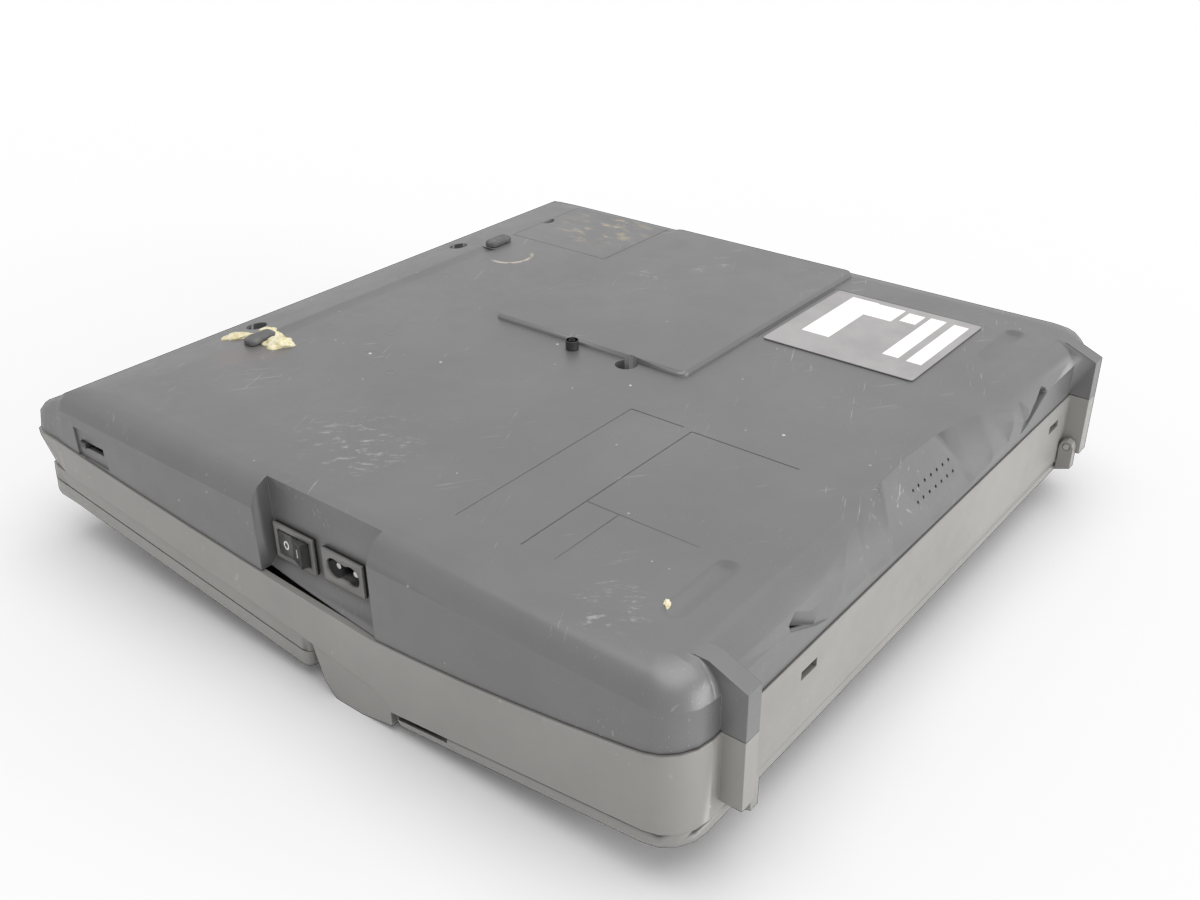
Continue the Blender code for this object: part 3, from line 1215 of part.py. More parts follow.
def make_disk_drive(surface):
    """The disk drive's metal body, which hangs from the bulge, with its disk slot."""
    y_range = around(DRIVE_Y, DRIVE_WIDTH)
    drive = block("disk_drive", (DRIVE_BODY_X, DRIVE_INNER_X), y_range,
                  (DRIVE_BOTTOM_Z, UNDERSIDE_Z + BULGE_RISE - BULGE_WALL - CLEARANCE), surface)
    neck = block("drive_neck", (DRIVE_NECK_X, DRIVE_BODY_X + OVERRUN),
                 around(DRIVE_Y, DRIVE_WIDTH - OVERRUN),
                 (BEZEL_Z - BEZEL_HEIGHT / 2, BEZEL_Z + BEZEL_HEIGHT / 2 - DRIVE_NECK_MARGIN))
    slot = block("drive_slot", (DRIVE_NECK_X - OVERRUN, DRIVE_NECK_X + SLOT_DEPTH),
                 around(DRIVE_Y, SLOT_WIDTH), around(SLOT_Z, SLOT_HEIGHT))
    stem_end = EJECT_FACE_X + EJECT_DEPTH + EJECT_TRAVEL + 2 * CLEARANCE
    stem = block("eject_space", (DRIVE_NECK_X - OVERRUN, stem_end),
                 around(EJECT_Y, EJECT_LENGTH + 2 * RUNNING_GAP),
                 around(EJECT_Z, EJECT_HEIGHT + 2 * RUNNING_GAP))
    fuse(drive, neck)
    return cut(drive, slot, stem)


def make_drive_bezel(surface):
    """The drive's front plate, with the disk slot and the eject button's hole."""
    outer_x = -HALF_WIDTH + BEZEL_SETBACK
    bezel = block("drive_bezel", (outer_x, outer_x + BEZEL_THICKNESS), around(DRIVE_Y, BEZEL_WIDTH),
                  around(BEZEL_Z, BEZEL_HEIGHT), surface)
    slot = block("bezel_slot", (outer_x - OVERRUN, outer_x + OVERRUN), around(DRIVE_Y, SLOT_WIDTH),
                 around(SLOT_Z, SLOT_HEIGHT))
    hole = block("eject_hole", (outer_x - OVERRUN, outer_x + OVERRUN),
                 around(EJECT_Y, EJECT_LENGTH + 2 * CLEARANCE),
                 around(EJECT_Z, EJECT_HEIGHT + 2 * CLEARANCE))
    return cut(bezel, slot, hole)


def make_drive_flap(surface):
    """The dust flap in the disk slot, hinged along its lower edge here."""
    x = -HALF_WIDTH + BEZEL_SETBACK + FLAP_GAP
    low_z = SLOT_Z - SLOT_HEIGHT / 2 + FLAP_GAP
    flap = block("drive_flap", (x, x + FLAP_THICKNESS), around(DRIVE_Y, SLOT_WIDTH - 2 * FLAP_GAP),
                 (low_z, low_z + SLOT_HEIGHT - 2 * FLAP_GAP), surface)
    return pivot_at(flap, (x + FLAP_THICKNESS / 2, DRIVE_Y, low_z + FLAP_THICKNESS / 2))


def make_eject_button(surface):
    """The drive's push button."""
    button = block("eject_button", (EJECT_FACE_X, EJECT_FACE_X + EJECT_DEPTH), around(EJECT_Y, EJECT_LENGTH),
                   around(EJECT_Z, EJECT_HEIGHT), surface)
    return pivot_at(button, (EJECT_FACE_X, EJECT_Y, EJECT_Z))


def make_board(name, x_range, y_range, surface):
    """A circuit board that hangs from four posts."""
    return block(name, x_range, y_range, (BOARD_Z, BOARD_Z + BOARD_THICKNESS), surface)


def make_main_board(surface):
    """The main circuit board with its chips."""
    board = make_board("main_board", around(MAIN_BOARD_X, MAIN_BOARD_WIDTH),
                       around(MAIN_BOARD_Y, MAIN_BOARD_LENGTH), surface)
    for side, (x_share, y_share) in zip(CHIP_SIDES, CHIP_SHARES):
        x = MAIN_BOARD_X + x_share * MAIN_BOARD_WIDTH
        y = MAIN_BOARD_Y + y_share * MAIN_BOARD_LENGTH
        fuse(board, block("chip", around(x, side), around(y, side),
                          (BOARD_Z - CHIP_HEIGHT, BOARD_Z + BOARD_THICKNESS / 2)))
    return board


def make_transformer(surface):
    """The power supply's transformer: a square core round a wider winding."""
    x = POWER_BOARD_X + POWER_BOARD_WIDTH / 4
    top = BOARD_Z - CLEARANCE
    core = block("transformer", around(x, TRANSFORMER_SIDE), around(POWER_BOARD_Y, TRANSFORMER_SIDE * 2 / 3),
                 (top - TRANSFORMER_HEIGHT, top), surface)
    winding = block("winding", around(x, TRANSFORMER_SIDE * 2 / 3), around(POWER_BOARD_Y, TRANSFORMER_SIDE),
                    (top - TRANSFORMER_HEIGHT * 4 / 5, top - TRANSFORMER_HEIGHT / 5))
    return fuse(core, winding)


def make_power_board(surface):
    """The power supply board with its row of round capacitors."""
    board = make_board("power_board", around(POWER_BOARD_X, POWER_BOARD_WIDTH),
                       around(POWER_BOARD_Y, POWER_BOARD_LENGTH), surface)
    x = POWER_BOARD_X - POWER_BOARD_WIDTH / 4
    for index in range(CAPACITOR_COUNT):
        y = POWER_BOARD_Y + (index - (CAPACITOR_COUNT - 1) / 2) * 3 * CAPACITOR_RADIUS
        fuse(board, prism("capacitor", "z", circle(x, y, CAPACITOR_RADIUS), BOARD_Z - CAPACITOR_HEIGHT,
                          BOARD_Z + BOARD_THICKNESS / 2))
    return board


def make_speaker(surface):
    """The small loudspeaker behind the holes in the rear scoop."""
    middle, fall, outward = scoop_frame(SPEAKER_X)
    speaker = loft("speaker", [
        rounded_ring((-SPEAKER_LENGTH / 2, SPEAKER_LENGTH / 2), (-SPEAKER_WIDTH / 2, SPEAKER_WIDTH / 2),
                     SPEAKER_WIDTH / 3, z) for z in (-SPEAKER_DEPTH, 0.0)
    ], surface)
    turn = Matrix((Vector((1, 0, 0)), fall, outward)).transposed().to_4x4()
    place = middle - outward * (SCOOP_LINING * outward.y + CLEARANCE)
    speaker.data.transform(Matrix.Translation(place) @ turn)
    return speaker


def key_solid(x, u, width):
    """Return one key cap with its stem, on the level deck."""
    def square(half_x, half_y, z):
        return [(x - half_x, u - half_y, z), (x + half_x, u - half_y, z), (x + half_x, u + half_y, z),
                (x - half_x, u + half_y, z)]

    taper = (KEY_BASE - KEY_TOP) / 2
    stem = KEY_STEM / 2
    low = KEY_SINK
    return loft("key", [
        square(width / 2 - taper, KEY_TOP / 2, low),
        square(width / 2, KEY_BASE / 2, low + KEY_HEIGHT),
        square(stem, stem, low + KEY_HEIGHT),
        square(stem, stem, KEY_PLATE_LOW + KEY_PLATE_THICKNESS / 2),
    ])


def key_places(row):
    """Return the across-the-row place and width of each key in a row."""
    if row > 0:
        count = KEY_ROW_COUNTS[row]
        spare = max(KEY_ROW_COUNTS) - count
        wide = KEY_BASE + spare * KEY_PITCH / 2
        edge = KEY_FIELD_HALF_WIDTH - (KEY_PITCH - KEY_BASE) / 2
        places = [(-edge + wide / 2, wide), (edge - wide / 2, wide)]
        start = -(count - 3) / 2
        places += [((start + index) * KEY_PITCH, KEY_BASE) for index in range(count - 2)]
        return places
    bar = SPACE_BAR_PITCHES * KEY_PITCH - (KEY_PITCH - KEY_BASE)
    places = [(0.0, bar)]
    for side in (-1, 1):
        for index in range(SPACE_ROW_SIDES):
            places.append((side * (SPACE_BAR_PITCHES / 2 + 0.5 + index) * KEY_PITCH, KEY_BASE))
    return places


def row_place(row):
    """Distance along the deck from the lid's rear edge to a row of keys."""
    return KEY_FIELD_FRONT + (row + 0.5) * KEY_PITCH


def make_key_row(row, name, surface):
    """One row of key caps on the hidden rail that they share."""
    places = key_places(row)
    half = max(abs(x) for x, _ in places)
    top = KEY_SINK + KEY_HEIGHT
    rail = tilted(block(name, (-half, half), around(row_place(row), KEY_RAIL_WIDTH),
                        (top - KEY_RAIL_THICKNESS, top - CLEARANCE), surface))
    keys = [tilted(key_solid(x, row_place(row), width)) for x, width in places]
    return fuse(rail, group(name + "_caps", keys, None))


def make_keyboard_plate(surface):
    """The sheet that the key stems pass through."""
    x_half = KEY_FIELD_HALF_WIDTH + KEYBOARD_MARGIN + KEY_PLATE_SIDE
    margin = KEYBOARD_MARGIN + KEY_PLATE_END
    u_range = (KEY_FIELD_FRONT - margin, KEY_FIELD_REAR + margin)
    plate = tilted(block("keyboard_plate", (-x_half, x_half), u_range,
                         (KEY_PLATE_LOW, KEY_PLATE_LOW + KEY_PLATE_THICKNESS), surface))
    holes = []
    side = KEY_STEM + 2 * KEY_STEM_GAP
    for row in range(len(KEY_ROW_COUNTS)):
        for x, _ in key_places(row):
            holes.append(tilted(block("stem_hole", around(x, side), around(row_place(row), side),
                                      (KEY_PLATE_LOW - OVERRUN, KEY_PLATE_LOW + OVERRUN))))
    return cut(plate, group("stem_holes", holes, None))


def make_keyboard_cable(surface):
    """A ribbon between the key plate and the main board."""
    y = MAIN_BOARD_Y + MAIN_BOARD_LENGTH / 2 - BOARD_POST_INSET
    x = MAIN_BOARD_X + MAIN_BOARD_WIDTH / 4
    low = deck_z(y) + (KEY_PLATE_LOW + KEY_PLATE_THICKNESS) / math.cos(DECK_TILT) + 2 * CLEARANCE
    return block("keyboard_cable", around(x, CABLE_WIDTH), around(y, CABLE_THICKNESS),
                 (low, BOARD_Z - CLEARANCE), surface)


def lid_ring(inset, w):
    """Return a ring round the lid on the level deck, drawn in by an inset."""
    half = HALF_WIDTH - LID_SIDE_INSET - inset
    rear_radius = LID_REAR_CORNER - min(inset, LID_REAR_CORNER / 2)
    front_radius = max(CORNER_RADIUS - inset, LID_REAR_CORNER)
    y_range = (inset - LID_LENGTH, -CLEARANCE - inset)
    return rounded_ring((-half, half), y_range, rear_radius, w, front_radius)


def make_lid_back(surface):
    """The lid's outer shell, with the hinge barrel on its rear edge."""
    seam = -LID_BEZEL_THICKNESS - 2 * CLEARANCE
    face = -LID_THICKNESS
    shell = tilted(loft("lid_back", [
        lid_ring(0.0, seam), lid_ring(0.0, face + LID_EDGE), lid_ring(LID_EDGE / 4, face + LID_EDGE / 3),
        lid_ring(LID_EDGE, face),
    ], surface))
    core = tilted(loft("lid_core", [
        lid_ring(WALL, seam + OVERRUN), lid_ring(WALL, face + WALL),
    ]))
    bridge = prism("barrel_bridge", "x", [
        (LID_REAR_Y - WALL, DECK_REAR_Z - LID_THICKNESS + WALL),
        (HINGE_Y, HINGE_Z - BARREL_RADIUS),
        (HINGE_Y, HINGE_Z + BARREL_RADIUS - CLEARANCE),
        (LID_REAR_Y - WALL, DECK_REAR_Z + seam - 2 * CLEARANCE),
    ], -BARREL_HALF_LENGTH, BARREL_HALF_LENGTH)
    barrel = prism("barrel", "x", circle(HINGE_Y, HINGE_Z, BARREL_RADIUS, FINE_SIDES),
                   -BARREL_HALF_LENGTH, BARREL_HALF_LENGTH)
    hollow_half = BARREL_HALF_LENGTH - WALL
    hollow = block("bridge_hollow", (-hollow_half, hollow_half),
                   (LID_REAR_Y + 2 * WALL, HINGE_Y - BARREL_RADIUS - WALL), (HINGE_Z - WALL, DECK_REAR_Z))
    fuse(shell, bridge, barrel)
    cut(shell, core, hollow)
    for side in (-1, 1):
        bore = prism("barrel_bore", "x", circle(HINGE_Y, HINGE_Z, HINGE_PIN_RADIUS + CLEARANCE),
                     *sorted((side * (BARREL_HALF_LENGTH - HINGE_PIN_REACH - CLEARANCE),
                              side * (BARREL_HALF_LENGTH + OVERRUN))))
        cut(shell, bore)
    return pivot_at(shell, (0, HINGE_Y, HINGE_Z))


def make_lid_bezel(surface):
    """The lid's inner shell, with the screen's window and the latch's pocket."""
    face = -CLEARANCE
    low = face - LID_BEZEL_THICKNESS
    bezel = tilted(loft("lid_bezel", [
        lid_ring(LID_EDGE / 3, face), lid_ring(0.0, face - LID_EDGE / 3), lid_ring(0.0, low),
    ], surface))
    core = tilted(loft("bezel_core", [lid_ring(WALL, face - WALL), lid_ring(WALL, low - OVERRUN)]))
    front = -LID_LENGTH
    housing = tilted(block("latch_housing",
                           around(LATCH_TRAVEL / 2, LATCH_WIDTH + LATCH_TRAVEL + 2 * WALL),
                           (front + WALL / 2, front + LATCH_DEPTH + 2 * WALL),
                           (low - 2 * OVERRUN, face - WALL / 2)))
    cut(core, housing)
    window = tilted(block("screen_window", around(0.0, SCREEN_WIDTH), around(-SCREEN_OFFSET, SCREEN_LENGTH),
                          (-OVERRUN, OVERRUN)))
    pocket = tilted(block("latch_pocket",
                          (-LATCH_WIDTH / 2 - CLEARANCE, LATCH_WIDTH / 2 + LATCH_TRAVEL + CLEARANCE),
                          (front - OVERRUN, front + LATCH_DEPTH),
                          around(low / 2, LATCH_HEIGHT + 2 * CLEARANCE)))
    return cut(bezel, core, window, pocket)


def make_lid_latch(surface):
    """The sliding catch at the middle of the lid's front edge."""
    low = -CLEARANCE - LID_BEZEL_THICKNESS
    front = -LID_LENGTH
    return tilted(block("lid_latch", around(0.0, LATCH_WIDTH),
                        (front - LATCH_PROUD, front + LATCH_DEPTH - CLEARANCE),
                        around(low / 2, LATCH_HEIGHT), surface))


def make_lcd_panel(surface):
    """The screen's glass, behind the window of the lid bezel."""
    top = -2 * CLEARANCE - WALL
    return tilted(block("lcd_panel", around(0.0, SCREEN_WIDTH + 2 * SCREEN_MARGIN),
                        around(-SCREEN_OFFSET, SCREEN_LENGTH + 2 * SCREEN_MARGIN),
                        (top - SCREEN_THICKNESS, top), surface))


def make_lcd_frame(surface):
    """The metal frame that backs the screen."""
    top = -3 * CLEARANCE - WALL - SCREEN_THICKNESS
    width = SCREEN_WIDTH + 2 * SCREEN_FRAME_BORDER
    length = SCREEN_LENGTH + 2 * SCREEN_FRAME_BORDER
    frame = tilted(block("lcd_frame", around(0.0, width), around(-SCREEN_OFFSET, length),
                         (top - SCREEN_FRAME_DEPTH, top), surface))
    window = tilted(block("frame_window", around(0.0, width - 4 * SCREEN_FRAME_BORDER),
                          around(-SCREEN_OFFSET, length - 4 * SCREEN_FRAME_BORDER),
                          (-LID_THICKNESS, OVERRUN)))
    return cut(frame, window)


def make_printer_cover(surface):
    """The cover over the printer, pivoted at the lower ends of the stands."""
    x_range = (-HALF_WIDTH + COVER_SIDE_INSET, HALF_WIDTH - COVER_SIDE_INSET)
    y_range = (COVER_FRONT_Y + CLEARANCE, REAR_Y - COVER_SIDE_INSET)

    def ring(inset, height):
        front_radius = LID_REAR_CORNER - min(inset, LID_REAR_CORNER / 2)
        return sloped_ring((x_range[0] + inset, x_range[1] - inset),
                           (y_range[0] + inset, y_range[1] - inset),
                           CORNER_RADIUS - inset, height, front_radius)

    cover = loft("printer_cover", [
        ring(0.0, lambda y: cover_gap_z(y) - CLEARANCE),
        ring(0.0, lambda y: cover_face_z(y) + COVER_EDGE),
        ring(COVER_EDGE / 4, lambda y: cover_face_z(y) + COVER_EDGE / 3),
        ring(COVER_EDGE, cover_face_z),
    ], surface)
    core = loft("cover_core", [
        ring(WALL, lambda y: cover_gap_z(y) + OVERRUN),
        ring(WALL, lambda y: cover_face_z(y) + WALL),
    ])
    cut(cover, core)
    for side in (-1, 1):
        notch = prism("finger_notch", "x", [
            (NOTCH_FRONT_Y, cover_gap_z(NOTCH_FRONT_Y) + OVERRUN),
            (NOTCH_FRONT_Y, cover_gap_z(NOTCH_FRONT_Y) - NOTCH_HEIGHT),
            (NOTCH_REAR_Y, cover_gap_z(NOTCH_REAR_Y) - NOTCH_HEIGHT),
            (NOTCH_REAR_Y, cover_gap_z(NOTCH_REAR_Y) + OVERRUN),
        ], *sorted((side * (HALF_WIDTH - NOTCH_DEPTH), side * (HALF_WIDTH + OVERRUN))))
        cut(cover, notch)
    ears = []
    rim_z = cover_gap_z(REAR_Y) - CLEARANCE
    inner_y = COVER_PIVOT_Y - COVER_EAR_RADIUS
    arc = [
        (COVER_PIVOT_Y + COVER_EAR_RADIUS * math.cos(math.pi * step / CORNER_STEPS),
         COVER_PIVOT_Z + COVER_EAR_RADIUS * math.sin(math.pi * step / CORNER_STEPS))
        for step in range(CORNER_STEPS + 1)
    ]
    outline = [
        (y_range[1] - WALL / 2, rim_z - WALL),
        (y_range[1] - WALL / 2, cover_face_z(REAR_Y) + COVER_EDGE),
        (COVER_PIVOT_Y + COVER_EAR_RADIUS, rim_z - WALL / 2),
        *arc,
        (inner_y, rim_z - WALL),
    ]
    ear_x = STAND_INNER_X - CLEARANCE
    for side in (-1, 1):
        ear_range = sorted((side * ear_x, side * (ear_x - COVER_EAR_THICKNESS)))
        ears.append(prism("cover_ear", "x", outline, *ear_range))
    fuse(cover, *ears)
    for side in (-1, 1):
        outline = circle(COVER_PIVOT_Y, COVER_PIVOT_Z, COVER_PIN_RADIUS + CLEARANCE, SMALL_SIDES)
        bore = prism("ear_bore", "x", outline,
                     *sorted((side * (STAND_INNER_X - COVER_EAR_THICKNESS - OVERRUN), side * HALF_WIDTH)))
        cut(cover, bore)
    return pivot_at(cover, (0, COVER_PIVOT_Y, COVER_PIVOT_Z))


def make_printer_chassis(surface):
    """The printer's sheet-metal frame: a base under the case and two side plates."""
    top = UNDERSIDE_Z - WALL - CLEARANCE
    chassis = block("printer_chassis", (-CHASSIS_HALF_WIDTH, CHASSIS_HALF_WIDTH),
                    (CHASSIS_FRONT_Y, CHASSIS_BASE_REAR_Y), (top - CHASSIS_SHEET, top), surface)
    for side in (-1, 1):
        x_range = sorted((side * (CHASSIS_HALF_WIDTH - CHASSIS_SHEET), side * CHASSIS_HALF_WIDTH))
        plate = prism("side_plate", "x", [
            (CHASSIS_SIDE_FRONT_Y, CHASSIS_LOW_Z),
            (CHASSIS_REAR_Y, CHASSIS_LOW_Z),
            (CHASSIS_REAR_Y, top - CHASSIS_SHEET - CLEARANCE),
            (CHASSIS_BASE_REAR_Y, top - CHASSIS_SHEET - CLEARANCE),
            (CHASSIS_BASE_REAR_Y, top - CHASSIS_SHEET / 2),
            (CHASSIS_SIDE_FRONT_Y, top - CHASSIS_SHEET / 2),
        ], *x_range)
        fuse(chassis, plate)
    pin = prism("idler_pin", "z", circle(PULLEY_X, BELT_Y, PULLEY_PIN_RADIUS, SMALL_SIDES),
                BELT_Z - BELT_WIDTH, top - CHASSIS_SHEET / 2)
    fuse(chassis, pin, paper_guide())
    reach = CHASSIS_HALF_WIDTH + OVERRUN
    platen = circle(PLATEN_Y, PLATEN_Z, PLATEN_SHAFT_RADIUS + CLEARANCE)
    rail = circle(GUIDE_Y, GUIDE_Z, GUIDE_RADIUS + CLEARANCE)
    motor = circle(PINION_Y, PINION_Z, MOTOR_SHAFT_RADIUS + 2 * CLEARANCE, SMALL_SIDES)
    return cut(chassis, prism("platen_hole", "x", platen, -reach, reach),
               prism("guide_hole", "x", rail, -reach, reach), prism("motor_hole", "x", motor, 0.0, reach))


def make_platen_shaft(surface):
    """The steel shaft of the paper roller."""
    return prism("platen_shaft", "x", circle(PLATEN_Y, PLATEN_Z, PLATEN_SHAFT_RADIUS),
                 -CHASSIS_HALF_WIDTH - WALL, GEAR_X + GEAR_WIDTH, surface)


def make_platen_roller(surface):
    """The rubber roller that feeds the paper."""
    roller = prism("platen_roller", "x", circle(PLATEN_Y, PLATEN_Z, PLATEN_RADIUS, FINE_SIDES),
                   -PLATEN_HALF_LENGTH, PLATEN_HALF_LENGTH, surface)
    bore = prism("roller_bore", "x", circle(PLATEN_Y, PLATEN_Z, PLATEN_SHAFT_RADIUS + CLEARANCE),
                 -PLATEN_HALF_LENGTH - OVERRUN, PLATEN_HALF_LENGTH + OVERRUN)
    return cut(roller, bore)


def gear(name, y, z, teeth, phase, bore_radius, surface):
    """Return a spur gear on an X axis with straight-flanked teeth."""
    pitch_radius = GEAR_MODULE * teeth / 2
    tip = pitch_radius + GEAR_MODULE * TOOTH_HEIGHT_SHARE
    root = pitch_radius - GEAR_MODULE * TOOTH_DEPTH_SHARE
    pitch = math.tau / teeth
    half = pitch * TOOTH_SHARE / 2
    low, high = around(GEAR_X, GEAR_WIDTH)
    outer = []
    inner = []
    for tooth in range(teeth):
        middle = phase + tooth * pitch
        for radius, angle in ((root, -half * (2 - TOOTH_TIP_SHARE)), (tip, -half * TOOTH_TIP_SHARE),
                              (tip, half * TOOTH_TIP_SHARE), (root, half * (2 - TOOTH_TIP_SHARE))):
            across = math.cos(middle + angle)
            up = math.sin(middle + angle)
            outer.append((y + radius * across, z + radius * up))
            inner.append((y + bore_radius * across, z + bore_radius * up))
    return sleeve(name, [[(x, *point) for point in ring] for ring, x in
                         ((outer, low), (outer, high), (inner, high), (inner, low))], surface)


def make_platen_gear(surface):
    """The gear on the platen shaft."""
    wheel = gear("platen_gear", PLATEN_Y, PLATEN_Z, PLATEN_TEETH, math.radians(FEED_ANGLE_DEG),
                 PLATEN_SHAFT_RADIUS + CLEARANCE, surface)
    return pivot_at(wheel, (GEAR_X, PLATEN_Y, PLATEN_Z))


def make_feed_pinion(surface):
    """The feed motor's pinion, turned so that a gap faces the gear's tooth."""
    phase = math.radians(FEED_ANGLE_DEG) + math.pi + math.pi / PINION_TEETH
    wheel = gear("feed_pinion", PINION_Y, PINION_Z, PINION_TEETH, phase,
                 MOTOR_SHAFT_RADIUS + CLEARANCE, surface)
    return pivot_at(wheel, (GEAR_X, PINION_Y, PINION_Z))


def make_feed_motor(surface):
    """The stepper motor for the paper feed, inside the side plate."""
    outer = CHASSIS_HALF_WIDTH - CHASSIS_SHEET - CLEARANCE
    motor = prism("feed_motor", "x", circle(PINION_Y, PINION_Z, MOTOR_RADIUS, FINE_SIDES),
                  outer - FEED_MOTOR_LENGTH, outer, surface)
    shaft = prism("feed_shaft", "x", circle(PINION_Y, PINION_Z, MOTOR_SHAFT_RADIUS, SMALL_SIDES),
                  outer - WALL, GEAR_X + GEAR_WIDTH / 2)
    return fuse(motor, shaft)


def make_carriage_motor(surface):
    """The stepper motor that drives the carriage belt."""
    top = UNDERSIDE_Z - WALL - CHASSIS_SHEET - 2 * CLEARANCE
    motor = prism("carriage_motor", "z", circle(-PULLEY_X, BELT_Y, MOTOR_RADIUS, FINE_SIDES),
                  top - MOTOR_LENGTH, top, surface)
    shaft = prism("carriage_shaft", "z", circle(-PULLEY_X, BELT_Y, PULLEY_PIN_RADIUS, SMALL_SIDES),
                  BELT_Z - BELT_WIDTH, top - MOTOR_LENGTH + WALL)
    return fuse(motor, shaft)


def make_pulley(name, x, surface):
    """A flanged belt pulley on a vertical pin."""
    half = BELT_WIDTH / 2 + CLEARANCE
    flange = PULLEY_FLANGE_THICKNESS
    rim = PULLEY_RADIUS + PULLEY_FLANGE
    turned = (
        (rim, -half - flange),
        (rim, -half),
        (PULLEY_RADIUS, -half),
        (PULLEY_RADIUS, half),
        (rim, half),
        (rim, half + flange),
    )
    rings = [[(*point, BELT_Z + z) for point in circle(x, BELT_Y, radius)] for radius, z in turned]
    pulley = loft(name, rings, surface)
    bore = prism("pulley_bore", "z", circle(x, BELT_Y, PULLEY_PIN_RADIUS + CLEARANCE, SMALL_SIDES),
                 BELT_Z - 2 * BELT_WIDTH, BELT_Z + 2 * BELT_WIDTH)
    cut(pulley, bore)
    return pivot_at(pulley, (x, BELT_Y, BELT_Z))


def make_carriage_belt(surface):
    """The toothed belt round both pulleys."""
    def stadium(radius):
        points = []
        for step in range(ROUND_SIDES // 2 + 1):
            angle = math.pi * step / (ROUND_SIDES // 2) - math.pi / 2
            points.append((PULLEY_X + radius * math.cos(angle), BELT_Y + radius * math.sin(angle)))
        return points + [(-x, 2 * BELT_Y - y) for x, y in points]

    inner = PULLEY_RADIUS + CLEARANCE
    z_range = around(BELT_Z, BELT_WIDTH)
    belt = prism("carriage_belt", "z", stadium(inner + BELT_THICKNESS), *z_range, surface)
    return cut(belt, prism("belt_inside", "z", stadium(inner), z_range[0] - OVERRUN, z_range[1] + OVERRUN))


def make_guide_shaft(surface):
    """The round rail that the carriage slides on."""
    return prism("guide_shaft", "x", circle(GUIDE_Y, GUIDE_Z, GUIDE_RADIUS), -CHASSIS_HALF_WIDTH - WALL / 2,
                 CHASSIS_HALF_WIDTH + WALL / 2, surface)


def paper_guide():
    """Return the curved sheet that turns the paper round the platen."""
    inner = PLATEN_RADIUS + PAPER_GUIDE_GAP
    outer = inner + PAPER_GUIDE_SHEET
    steps = 2 * CORNER_STEPS
    outline = []
    for radius, first, last in ((outer, PAPER_GUIDE_START_DEG, PAPER_GUIDE_END_DEG),
                                (inner, PAPER_GUIDE_END_DEG, PAPER_GUIDE_START_DEG)):
        for step in range(steps + 1):
            angle = math.radians(between(step / steps, first, last))
            outline.append((PLATEN_Y + radius * math.cos(angle), PLATEN_Z + radius * math.sin(angle)))
    half = CHASSIS_HALF_WIDTH - CHASSIS_SHEET / 2
    return prism("paper_guide", "x", outline, -half, half)


def make_carriage(surface):
    """The carriage that slides on the rail, with ribbon spindles and a belt clip."""
    carriage = block("carriage", around(0.0, CARRIAGE_WIDTH), (CARRIAGE_FRONT_Y, CARRIAGE_REAR_Y),
                     (CARRIAGE_LOW_Z, CARRIAGE_HIGH_Z), surface)
    clip_y = BELT_Y + PULLEY_RADIUS + 2 * CLEARANCE + BELT_THICKNESS
    clip = block("belt_clip", around(0.0, CLIP_WIDTH), (clip_y, CARRIAGE_FRONT_Y + WALL),
                 around(BELT_Z, CLIP_HEIGHT))
    fuse(carriage, clip)
    for side in (-1, 1):
        outline = circle(side * SPOOL_SPACING, CASSETTE_Y, SPOOL_RADIUS)
        fuse(carriage, prism("ribbon_spindle", "z", outline, CARRIAGE_LOW_Z - SPOOL_HEIGHT,
                             CARRIAGE_LOW_Z + WALL))
    bore = prism("guide_bore", "x", circle(GUIDE_Y, GUIDE_Z, GUIDE_RADIUS + CLEARANCE),
                 -CARRIAGE_WIDTH, CARRIAGE_WIDTH)
    cut(carriage, bore)
    return pivot_at(carriage, (0, GUIDE_Y, GUIDE_Z))


def make_print_head(surface):
    """The print head between the carriage and the platen."""
    return block("print_head", around(0.0, HEAD_WIDTH),
                 (CARRIAGE_REAR_Y + CLEARANCE, PLATEN_Y - PLATEN_RADIUS - HEAD_GAP),
                 around(PLATEN_Z, HEAD_HEIGHT), surface)


def make_ribbon_cassette(surface):
    """The lift-off ribbon cassette under the carriage."""
    top = CARRIAGE_LOW_Z - CLEARANCE
    x_range = around(0.0, CASSETTE_WIDTH)
    y_range = around(CASSETTE_Y, CASSETTE_LENGTH)
    corner = CASSETTE_THICKNESS / 2
    cassette = loft("ribbon_cassette", [
        rounded_ring(x_range, y_range, corner, z) for z in (top - CASSETTE_THICKNESS, top)
    ], surface)
    for side in (-1, 1):
        outline = circle(side * SPOOL_SPACING, CASSETTE_Y, SPOOL_RADIUS + CLEARANCE)
        cut(cassette, prism("spindle_hole", "z", outline, top - SPOOL_HEIGHT - 2 * CLEARANCE, top + OVERRUN))
    return pivot_at(cassette, (0, CASSETTE_Y, top))


